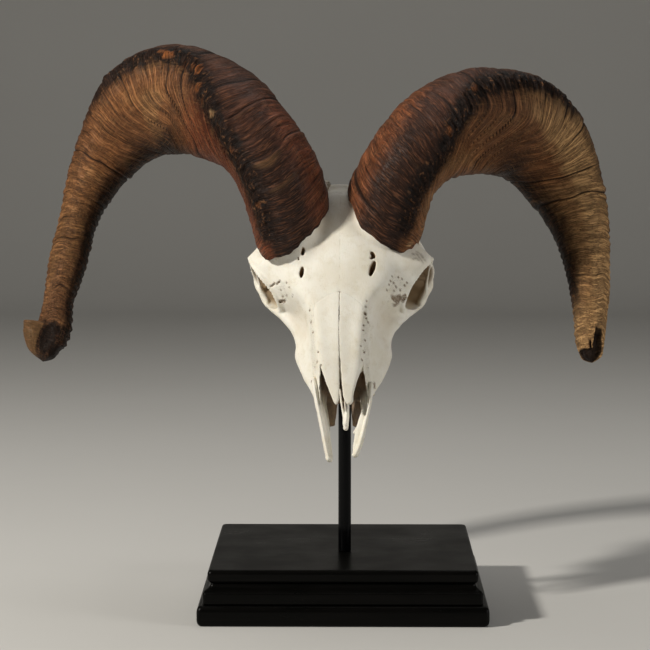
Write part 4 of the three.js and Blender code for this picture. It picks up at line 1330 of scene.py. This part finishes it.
# nasal bones, jaw tips and vomer
nasalOutlines = {
    # plan outline of each nasal bone as x and a, from its inner top corner round its tip
    "nasal_left": [(1.1, 124), (0.5, 110), (0.0, 94), (-0.35, 78), (-0.65, 66), (-1.0, 54),
                   (-1.8, 46.2), (-2.9, 43.2), (-4.4, 42.3), (-6.0, 44.2), (-7.7, 48.3), (-10.6, 56.2),
                   (-13.2, 63.8), (-14.9, 70), (-17.6, 80), (-20.0, 92), (-21.6, 105), (-17, 115),
                   (-8, 121)],
    "nasal_right": [(1.3, 124), (0.7, 110), (0.2, 94), (-0.1, 78), (0.35, 66), (0.75, 56), (1.2, 48.8),
                    (2.5, 44.8), (4.6, 42.6), (7.0, 43.0), (8.5, 45.2), (9.6, 52), (12.0, 60),
                    (14.4, 66.3), (16.4, 71.5), (18.2, 81), (19.8, 93), (21.0, 105), (17, 115),
                    (9, 121)],
}


def outlineDistance(x, a, outline, waviness=0.0):
    # signed distance in plan from a closed outline, below zero inside
    ends = np.array(outline, float)
    knots = np.arange(len(ends) + 1)
    closed = np.vstack([ends, ends[:1]])
    places = np.linspace(0, len(ends), len(ends) * 8 + 1)
    fine = np.stack([np.interp(places, knots, closed[:, k]) for k in (0, 1)], -1)
    flatX, flatA = np.broadcast_arrays(x, a)
    if waviness:
        flatX = flatX + waviness * np.sin(flatA * 2.1) * np.cos(flatA * 0.83 + flatX)
    best = np.full(flatX.shape, 1e9)
    inside = np.zeros(flatX.shape, bool)
    for start, end in zip(fine[:-1], fine[1:]):
        way = end - start
        share = ((flatX - start[0]) * way[0] + (flatA - start[1]) * way[1]) / max(way @ way, 1e-9)
        share = np.clip(share, 0, 1)
        gap = (flatX - start[0] - share * way[0]) ** 2 + (flatA - start[1] - share * way[1]) ** 2
        best = np.minimum(best, gap)
        crosses = (start[1] > flatA) != (end[1] > flatA)
        with np.errstate(divide="ignore", invalid="ignore"):
            edge = (end[0] - start[0]) * (flatA - start[1]) / (end[1] - start[1]) + start[0]
        inside ^= crosses & (flatX < edge)
    return np.where(inside, -1.0, 1.0) * np.sqrt(best)


def nasalField(name, body):
    # what lies inside the plan outline and within the roof's own thickness
    low, high = (-24.0, 36.0, -28.0), (24.0, 126.0, 24.0)
    field = Field(low, high, 0.5)
    _, x, a, n = field.part(low, high)
    plan = outlineDistance(x[:, :, 0], a[:, :, 0], nasalOutlines[name], 0.12)[:, :, None]
    roof = body[0](x, a, n)
    arch = 0.5 * bell((x - midLine(a)) / 1.0, 3.2) * smoothStep(85, 60, a)
    thick = np.interp(a, [40, 48, 62, 122], [2.2, 2.8, 3.4, 4.0])
    free = smoothStep(78, 66, a)
    middle = smoothStep(2.5, 1.2, np.abs(x - midLine(a)))
    soft = 0.06 + 0.12 * middle + free
    top = roof - 0.02 - 0.28 * free + arch
    upper, aside = top + soft, plan + soft - (1 - free) * (1 - middle)
    outside = np.sqrt(np.maximum(upper, 0) ** 2 + np.maximum(aside, 0) ** 2)
    sides = outside + np.minimum(np.maximum(upper, aside), 0) - soft
    field.depth = np.maximum(sides, -(roof + thick)).astype(np.float32)
    return field


def cutNasalSeats(field, body):
    # room for the nasal bones in the roof of the face, with a hair of clearance
    cuts, x, a, n = field.part((-26, 36, -30), (26, 128, 26))
    plan = np.minimum(*(outlineDistance(x[:, :, 0], a[:, :, 0], outline, 0.12)
                        for outline in nasalOutlines.values()))
    seat = np.maximum(plan[:, :, None] - 0.05, -(body[0](x, a, n) + 4.6))
    field.depth[cuts] = np.maximum(field.depth[cuts], -seat)


jawPlan = {
    "left": {
        "rod": [(-21.6, 64, -19, 3.6), (-20.6, 57, -19.5, 3.6), (-19.2, 47.5, -20.4, 3.4),
                (-17.5, 38, -21.2, 3.2), (-15.6, 28, -22, 3.0), (-13.6, 16, -23, 2.8),
                (-12.0, 7, -23.6, 2.6), (-11.0, 2.8, -23.9, 2.2)],
        "tip": [(-11.2, 3.2, -23.8, 2.2), (-9.7, 2.4, -24.2, 1.9)],
        "plate": [(-14.5, 50, -32, 1.3), (-12.6, 38, -30, 1.4), (-11.4, 24, -28, 1.5),
                  (-10.6, 12, -26.4, 1.4), (-10.0, 5, -25, 1.3)],
        "web": [(-18.6, 52, -25, 1.8), (-16.6, 43, -25.2, 2.4), (-14.7, 34, -25.4, 2.6),
                (-13.1, 24, -25.4, 2.4), (-11.6, 14, -25.2, 2.0), (-10.6, 5.5, -24.6, 1.7)],
    },
    "right": {
        "rod": [(22.5, 62, -19, 2.4), (22.0, 55, -19.4, 2.2), (21.2, 47.5, -20.2, 1.9),
                (19.4, 39, -21, 1.8), (17.0, 29, -22, 1.9), (14.4, 19, -22.8, 2.1),
                (11.8, 11, -23.4, 2.3), (9.7, 6.9, -23.8, 2.0)],
        "tip": [(9.9, 7.3, -23.8, 2.1), (8.3, 6.3, -24.1, 1.7)],
        "plate": [(18.2, 54, -24.5, 0.8), (16.8, 45, -24, 1.7), (14.9, 35, -24, 2.3),
                  (12.7, 26, -24.4, 2.5), (10.9, 17, -24.6, 2.1), (9.3, 9, -24.5, 1.7)],
        "web": [(16.4, 35, -23.6, 1.1), (13.9, 25, -24, 1.5), (11.4, 14, -24.2, 1.6)],
        "spur": [(11.0, 27.4, -24.4, 1.2), (8.3, 24.6, -24.2, 0.7)],
    },
}


def jawField(side, plan):
    # rod on the outside, a thin inner plate and the web that joins them
    low, high = (-32.0, -4.0, -42.0), (32.0, 74.0, -8.0)
    field = Field(low, high, 0.45)
    flat = (0.62, 1.0, 1.75) if side == "left" else (0.7, 1.0, 1.5)
    field.join(rod(plan["rod"], squash=flat), 0.5)
    field.join(rod(plan["tip"], squash=(1, 1, 1.1)), 1.6)
    field.join(rod(plan["plate"], squash=(1.15, 1, 0.7)), 1.2)
    field.join(rod(plan["web"], squash=(1.25, 1, 0.7) if side == "left" else (1.5, 1, 0.6)), 1.8)
    if "spur" in plan:
        field.join(rod(plan["spur"]), 0.8)
    return field


vomerPlan = {
    "left": [(-1.6, 58, -20, 0.8), (-0.8, 48, -22, 1.0), (0.8, 38, -23.6, 1.5), (1.5, 32, -24.6, 1.7)],
    "right": [(4.3, 58, -20, 1.2), (4.0, 47, -22, 1.7), (3.3, 37, -23.4, 2.3), (2.6, 31, -24.5, 2.1)],
    "foot": [(2.0, 34, -24.4, 1.9), (2.1, 28.4, -25, 1.9)],
    "keel": [(1.8, 31, -27, 1.0), (1.4, 60, -31, 1.2), (0.8, 84, -31, 1.3)],
    "floorLeft": [(-10.5, 33, -31.5, 1.0), (-11, 52, -34, 1.6), (-11, 76, -37, 2.2)],
    "floorRight": [(11, 33, -31.5, 1.0), (11.5, 52, -34, 1.6), (11, 76, -37, 2.2)],
    "floorMiddle": [(1.0, 54, -34.5, 1.2), (1, 76, -37, 1.8)],
}


def vomerField(plan):
    # a slim trough whose two lips end in one blunt foot, over the thin floor of the nose
    low, high = (-30.0, 18.0, -46.0), (32.0, 96.0, -12.0)
    field = Field(low, high, 0.5)
    field.join(rod(plan["left"], squash=(0.8, 1, 2.2)), 0.5)
    field.join(rod(plan["right"], squash=(0.8, 1, 2.2)), 0.9)
    field.join(rod(plan["foot"], squash=(1, 1, 1.2)), 1.2)
    field.join(rod(plan["keel"], squash=(0.8, 1, 2.2)), 1.0)
    for part, wide in (("floorLeft", 4.0), ("floorRight", 4.0), ("floorMiddle", 5.0)):
        field.join(rod(plan[part], squash=(wide, 1, 1)), 1.6)
    return field


# bone pieces from their fields
def thinned(points, triangles, target):
    # the same skin with fewer triangles, flat places first
    mesh = bpy.data.meshes.new("raw")
    mesh.from_pydata(points.tolist(), [], triangles.tolist())
    rough = bpy.data.objects.new("raw", mesh)
    bpy.context.scene.collection.objects.link(rough)
    fewer = rough.modifiers.new("fewer", "DECIMATE")
    fewer.ratio = min(1.0, target / len(triangles))
    result = rough.evaluated_get(bpy.context.evaluated_depsgraph_get()).to_mesh()
    newPoints = np.empty(len(result.vertices) * 3)
    result.vertices.foreach_get("co", newPoints)
    corners = np.empty(len(result.loops), np.int64)
    result.loops.foreach_get("vertex_index", corners)
    rough.evaluated_get(bpy.context.evaluated_depsgraph_get()).to_mesh_clear()
    bpy.data.objects.remove(rough)
    bpy.data.meshes.remove(mesh)
    return newPoints.reshape(-1, 3), corners.reshape(-1, 3)


def blurred(solid, reach, times=2):
    # box average along each axis in turn, repeated so that it falls off smoothly
    result = solid.astype(np.float32)
    for _ in range(times):
        for axis in range(3):
            padded = np.concatenate([np.repeat(np.take(result, [0], axis), reach, axis), result,
                                     np.repeat(np.take(result, [-1], axis), reach, axis)], axis)
            total = np.cumsum(padded, axis, dtype=np.float64)
            span = 2 * reach
            count = result.shape[axis]
            high = np.take(total, range(span, span + count), axis)
            low = np.concatenate([np.zeros_like(np.take(total, [0], axis)),
                                  np.take(total, range(0, count - 1), axis)], axis)
            result = ((high - low) / (span + 1)).astype(np.float32)
    return result


def hollowShare(field, spots, out):
    # how much bone stands in front of each spot: the share of solid in the space before it
    coarse = Field(field.low, [axis[-1] for axis in field.axes], field.step * 2)
    solid = (field.depth[::2, ::2, ::2] < 0)
    shape = tuple(min(s, c) for s, c in zip(solid.shape, coarse.depth.shape))
    coarse.depth[:] = 0.0
    near = blurred(solid, 2)
    wide = blurred(solid, 6)
    result = []
    for mask, reach in ((near, 2.5), (wide, 7.0)):
        coarse.depth[:shape[0], :shape[1], :shape[2]] = mask[:shape[0], :shape[1], :shape[2]]
        result.append(coarse.value(spots + out * reach))
    return result[0], result[1]


def insideShares(points, body):
    # how far a spot lies inside the closed shape of the face, and how deep it lies in an eye socket
    place = (points - body.low) / body.step
    nose = smoothStep(-2.5, -9.0, body.value(points)) * (place[:, 1] > 0)
    socket = np.zeros(len(points))
    x, a, n, sx, sa, sn = facePlan["carve"]
    for side in (-1, 1):
        flat = rimPlane(facePlan, side)
        depth = flat[0] + points[:, 1] * flat[1] + points[:, 2] * flat[2] - points[:, 0] * side
        reach = np.sqrt(((points[:, 0] - side * x) / sx) ** 2 + ((points[:, 1] - a) / sa) ** 2
                        + ((points[:, 2] - n) / sn) ** 2)
        within = smoothStep(1.16, 1.06, reach) * (points[:, 0] * side > 20)
        socket = np.maximum(socket, within * smoothStep(-1.0, 4.0, depth))
    return nose * (1 - socket), socket


def nearPits(points):
    # one inside the round pits and the slots, fading out just beyond their mouths
    share = np.zeros(len(points))
    for x, a, n, radius in pitPlan:
        gap = np.hypot(points[:, 0] - x, points[:, 1] - a) / radius
        share = np.maximum(share, smoothStep(1.25, 0.55, gap) * (np.abs(points[:, 2] - n) < 5))
    for line in holePlan:
        spots = np.array(line)
        for start, end in zip(spots[:-1], spots[1:]):
            way = end[:2] - start[:2]
            part = np.clip((points[:, :2] - start[:2]) @ way / (way @ way), 0, 1)
            middle = start + part[:, None] * (end - start)
            gap = np.hypot(points[:, 0] - middle[:, 0], points[:, 1] - middle[:, 1]) / middle[:, 3]
            share = np.maximum(share, smoothStep(1.3, 0.7, gap) * (np.abs(points[:, 2] - middle[:, 2]) < 7))
    return share


suturePlan = [
    # faint seams as x and a, and how far each wriggles: down the forehead, and across the crown
    ([(1.2, 124), (1.9, 150), (2.1, 175), (2.1, 215)], 0.35),
    ([(-36, 200), (-20, 209), (0, 212), (20, 209), (36, 200)], 1.2),
]
crackPlan = [
    # cracks on the right brow
    ([(56.8, 162.2), (59.0, 165.0), (61.4, 163.4), (63.6, 160.0), (65.2, 157.6)], 0.1),
    ([(60.0, 167.0), (62.6, 165.6), (64.8, 162.8), (67.0, 159.6)], 0.1),
    ([(57.6, 158.6), (60.0, 160.6), (61.8, 158.4)], 0.0),
]


def lineDistance(x, a, line, waviness):
    # distance in plan from a line that wriggles from side to side
    line = np.array(line, float)
    knots = np.concatenate([[0.0], np.cumsum(np.hypot(*np.diff(line, axis=0).T))])
    at = np.arange(0.0, knots[-1], 0.7)
    spots = splineThrough(knots, line, at)
    way = np.gradient(spots, axis=0)
    way /= np.linalg.norm(way, axis=1, keepdims=True)
    swing = waviness * (np.sin(at * 1.9) + 0.7 * np.sin(at * 3.7 + 1.0) * np.cos(at * 0.31))
    spots = spots + np.stack([-way[:, 1], way[:, 0]], -1) * swing[:, None]
    best = np.full(len(x), 1e9)
    for start, end in zip(spots[:-1], spots[1:]):
        step = end - start
        offX, offA = x - start[0], a - start[1]
        share = np.clip((offX * step[0] + offA * step[1]) / (step @ step), 0, 1)
        best = np.minimum(best, (offX - share * step[0]) ** 2 + (offA - share * step[1]) ** 2)
    return np.sqrt(best)


def burrShare(points):
    # one on the rough rings of bone beside the horns, fading out round them
    share = np.zeros(len(points))
    for line in facePlan["burr"]:
        for start, end in zip(np.array(line)[:-1, :3], np.array(line)[1:, :3]):
            way = end - start
            part = np.clip((points - start) @ way / (way @ way), 0, 1)
            gap = np.linalg.norm(points - start - part[:, None] * way, axis=1)  # from the line
            share = np.maximum(share, smoothStep(7.0, 4.0, gap))
    return share


def nearestLine(x, a, lines, facing):
    # distance from the nearest of some lines, and far where the surface faces away
    best = np.full(len(x), 9.0)
    for line, waviness in lines:
        best = np.minimum(best, np.where(facing, lineDistance(x, a, line, waviness), 9.0))
    return best


def bonePiece(name, field, target, shading, body, node=None, lines=False):
    # shading: the field whose bone shades this piece; body: the closed shape of the face
    points, triangles = field.skin()
    if len(triangles) > target:
        points, triangles = thinned(points, triangles, target)
    out = field.slope(points)
    near, wide = hollowShare(shading, points, out)
    nose, socket = insideShares(points, body)
    x, a, n = points.T
    front = smoothStep(0.05, 0.45, out[:, 2])
    seam = nearestLine(x, a, suturePlan if lines else [], out[:, 2] > 0.1)
    crack = nearestLine(x, a, crackPlan if lines else [], out[:, 2] > -0.2)
    burr = burrShare(points)
    # a little unevenness, deeper on the rough sides than on the smooth roof
    uneven = 0.32 * layeredCloud(x / 9.0, a / 9.0, n / 9.0, 5, 2)
    uneven = uneven + 0.10 * layeredCloud(x / 2.6, a / 2.6, n / 2.6, 10, 2)
    lift = uneven * (0.35 + 0.65 * (1 - front)) - 0.10 * bell(seam, 0.7) - 0.45 * bell(crack, 0.6)
    lift = lift + burr * layeredCloud(x / 3.0, a / 3.0, n / 3.0, 17, 2)
    points = points + out * lift[:, None]
    attributes = {"bonePlace": points, "boneNear": near, "boneWide": wide, "boneSeam": seam,
                  "boneFront": front, "boneTooth": toothShare(points), "boneNose": nose,
                  "boneSocket": socket, "boneBurr": burr,
                  "bonePit": np.maximum(nearPits(points), 0.7 * bell(crack, 0.55))}
    if name == "vomer":
        attributes["boneNose"] = smoothStep(-26.5, -29.5, n)
    world = toWorld(points)
    piece = meshPiece(name, world, orderedOut(world, triangles), boneFinish(name), attributes)
    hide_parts(node or name)
    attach(piece, "root")
    print(name, "made of", len(triangles), "triangles")


def orderedOut(points, triangles):
    # every triangle turned round where the closed skin would hold a negative volume
    a, b, c = (points[triangles[:, k]] for k in range(3))
    volume = np.einsum("ij,ij->i", a, np.cross(b, c)).sum()
    return (triangles if volume > 0 else triangles[:, ::-1]).tolist()


def toothShare(points):
    # one below the slanting gum line, within the tooth rows
    x, a, n = np.abs(points[:, 0]), points[:, 1], points[:, 2]
    level = -55.5 - 0.12 * (a - 70)
    span = smoothStep(66, 69, a) * (1 - smoothStep(142, 145, a))
    span = span * smoothStep(10, 12, x) * (1 - smoothStep(32, 34, x))
    return smoothStep(0, 2.2, level - n) * span


# dirty patches: x, a and n of the middle, and how far each reaches
patchPlan = [((44, 136, 1), 10.0), ((-46, 131, -2), 9.5), ((-14, 196, 21), 13.0), ((14, 196, 21), 9.0)]


def boneFinish(name):
    finish = Finish("bone_" + name)
    place = finish.attribute("bonePlace", vector=True)
    kinds = ("Near", "Wide", "Seam", "Front", "Tooth", "Nose", "Socket", "Pit", "Burr")
    shares = [finish.attribute("bone" + kind) for kind in kinds]
    near, wide, seam, front, tooth, nose, socket, pit, burr = shares
    parts = finish.node("ShaderNodeSeparateXYZ")
    finish.feed(parts, {0: place})
    across, along = parts.outputs[0], parts.outputs[1]
    broad = finish.noise(place, 0.035, 4.0, 0.55)
    patch = finish.noise(place, 0.12, 5.0, 0.6)
    fine = finish.noise(place, 0.9, 4.0, 0.6)
    streaks = finish.noise(finish.scaled(place, (1.4, 0.10, 1.4)), 1.0, 4.0, 0.55)
    pores = finish.cells(place, 0.62)
    colour = finish.mix(finish.band(broad, 0.38, 0.62), tone(244, 241, 230), tone(237, 232, 217))
    colour = finish.mix(finish.band(patch, 0.45, 0.75, 0.0, 0.45), colour, tone(221, 212, 188))
    colour = finish.mix(finish.band(streaks, 0.5, 0.75, 0.0, 0.16), colour, tone(196, 184, 152))
    # brown stain and painted shade gather where the bone faces other bone; the painted shade is darkest deep
    # in the hollows and close beside other bone
    hollow = finish.band(wide, 0.18, 0.55)
    colour = finish.mix(finish.times(hollow, 0.85), colour, tone(150, 118, 74))
    deep = finish.band(wide, 0.45, 0.78)
    colour = finish.mix(finish.times(deep, 0.9), colour, tone(74, 46, 22))
    colour = finish.mix(finish.band(near, 0.30, 0.62, 0.0, 0.55), colour, tone(118, 92, 58))
    # rough, pitted sides
    rough = finish.minus(1.0, front)
    pitted = finish.times(finish.band(patch, 0.48, 0.62), finish.band(pores, 0.30, 0.16))
    share = finish.times(pitted, finish.plus(0.12, finish.times(rough, 0.5)))
    colour = finish.mix(share, colour, tone(96, 74, 46))
    # rows of pits beside the nasal bones and the patches before the sockets
    rows = finish.most(pitRow(finish, across, 20.0, 2.6), pitRow(finish, across, -21.0, 3.0))
    rows = finish.times(rows, finish.times(finish.band(along, 60, 72), finish.band(along, 122, 108)))
    patches = pitPatch(finish, place, *patchPlan[0])
    for centre, reach in patchPlan[1:]:
        patches = finish.most(patches, pitPatch(finish, place, centre, reach))
    dirty = finish.most(finish.times(rows, 0.8), patches)
    smallPits = finish.cells(place, 1.05)
    pits = finish.times(dirty, finish.band(fine, 0.42, 0.55))
    pits = finish.times(finish.band(smallPits, 0.32, 0.18), pits)
    colour = finish.mix(finish.times(dirty, 0.18), colour, tone(186, 180, 164))
    colour = finish.mix(finish.times(pits, 0.85), colour, tone(92, 76, 50))
    line = finish.band(seam, 0.55, 0.12)
    share = finish.times(line, finish.band(patch, 0.35, 0.6, 0.05, 0.28))
    colour = finish.mix(share, colour, tone(160, 150, 128))
    # brown deep in the nose and the sockets, in the holes and pits, and stained ridges beside the horns
    stain = finish.mix(finish.band(patch, 0.35, 0.65), tone(140, 106, 66), tone(92, 62, 34))
    colour = finish.mix(finish.times(nose, 0.85), colour, stain)
    lower = finish.band(along, 146, 134)
    within = finish.mix(lower, tone(136, 106, 60), tone(234, 224, 198))
    colour = finish.mix(finish.times(socket, 0.85), colour, within)
    share = finish.times(pit, finish.band(fine, 0.40, 0.60, 0.55, 0.95))
    colour = finish.mix(share, colour, tone(108, 82, 50))
    crusty = finish.times(burr, finish.band(fine, 0.46, 0.62, 0.0, 0.55))
    colour = finish.mix(crusty, colour, tone(168, 150, 118))
    enamel = finish.mix(finish.band(streaks, 0.4, 0.7), tone(226, 214, 178), tone(168, 138, 88))
    colour = finish.mix(tooth, colour, enamel)
    height = finish.plus(finish.times(fine, 0.35), finish.times(streaks, 0.25))
    height = finish.minus(height, finish.times(pits, 1.6))
    height = finish.minus(height, finish.times(pitted, finish.times(rough, 0.9)))
    height = finish.minus(height, finish.times(line, 0.4))
    height = finish.plus(height, finish.times(burr, finish.times(fine, 1.2)))
    roughness = finish.minus(finish.band(patch, 0.3, 0.7, 0.52, 0.66), finish.times(tooth, 0.28))
    finish.feed(finish.shader, {"Base Color": colour, "Roughness": roughness, "Specular IOR Level": 0.35,
                                "Subsurface Weight": 0.06, "Subsurface Scale": 0.002,
                                "Normal": finish.bump(height, 0.0006, 0.55)})
    finish.shader.inputs["Subsurface Radius"].default_value = (1.0, 0.7, 0.45)
    return finish.material


def pitRow(finish, across, centre, width):
    # one along the line across = centre, fading out to both sides
    return finish.band(finish.apart(across, centre), width, width * 0.3)


def pitPatch(finish, place, centre, reach):
    # one at the centre, fading out at the reach
    shift = finish.node("ShaderNodeVectorMath", operation="DISTANCE")
    finish.feed(shift, {0: place, 1: centre})
    return finish.band(shift.outputs["Value"], reach, reach * 0.45)


def sameField(field):
    # a copy of a field, to be kept while the first one is cut
    copy = Field(field.low, [axis[-1] for axis in field.axes], field.step)
    shape = tuple(min(a, b) for a, b in zip(copy.depth.shape, field.depth.shape))
    copy.depth[:shape[0], :shape[1], :shape[2]] = field.depth[:shape[0], :shape[1], :shape[2]]
    return copy


def makeSkull():
    # the nasal bones' seats and the holes are cut last; the uncut skull still shades every bone of the face
    body = bodyShape((-80, 30, -114), (80, 250, 34))
    closed = Field(skullPlan["low"], skullPlan["high"], skullPlan["grid"])
    closed.join(body, 0.5)
    field = craniumField(facePlan)
    whole = sameField(field)
    cutNasalSeats(field, body)
    drillHoles(field)
    bonePiece("cranium", field, skullPlan["triangles"], whole, closed, lines=True)
    for name in ("nasal_left", "nasal_right"):
        nasal = nasalField(name, body)
        drillHoles(nasal)
        bonePiece(name, nasal, skullPlan["smallTriangles"], whole, closed)
    for side in ("left", "right"):
        jaw = jawField(side, jawPlan[side])
        bonePiece("premaxilla_" + side, jaw, skullPlan["smallTriangles"], jaw, closed)
    trough = vomerField(vomerPlan)
    bonePiece("vomer", trough, skullPlan["smallTriangles"], trough, closed, node="cranium")
    print("skull made")


makeSkull()
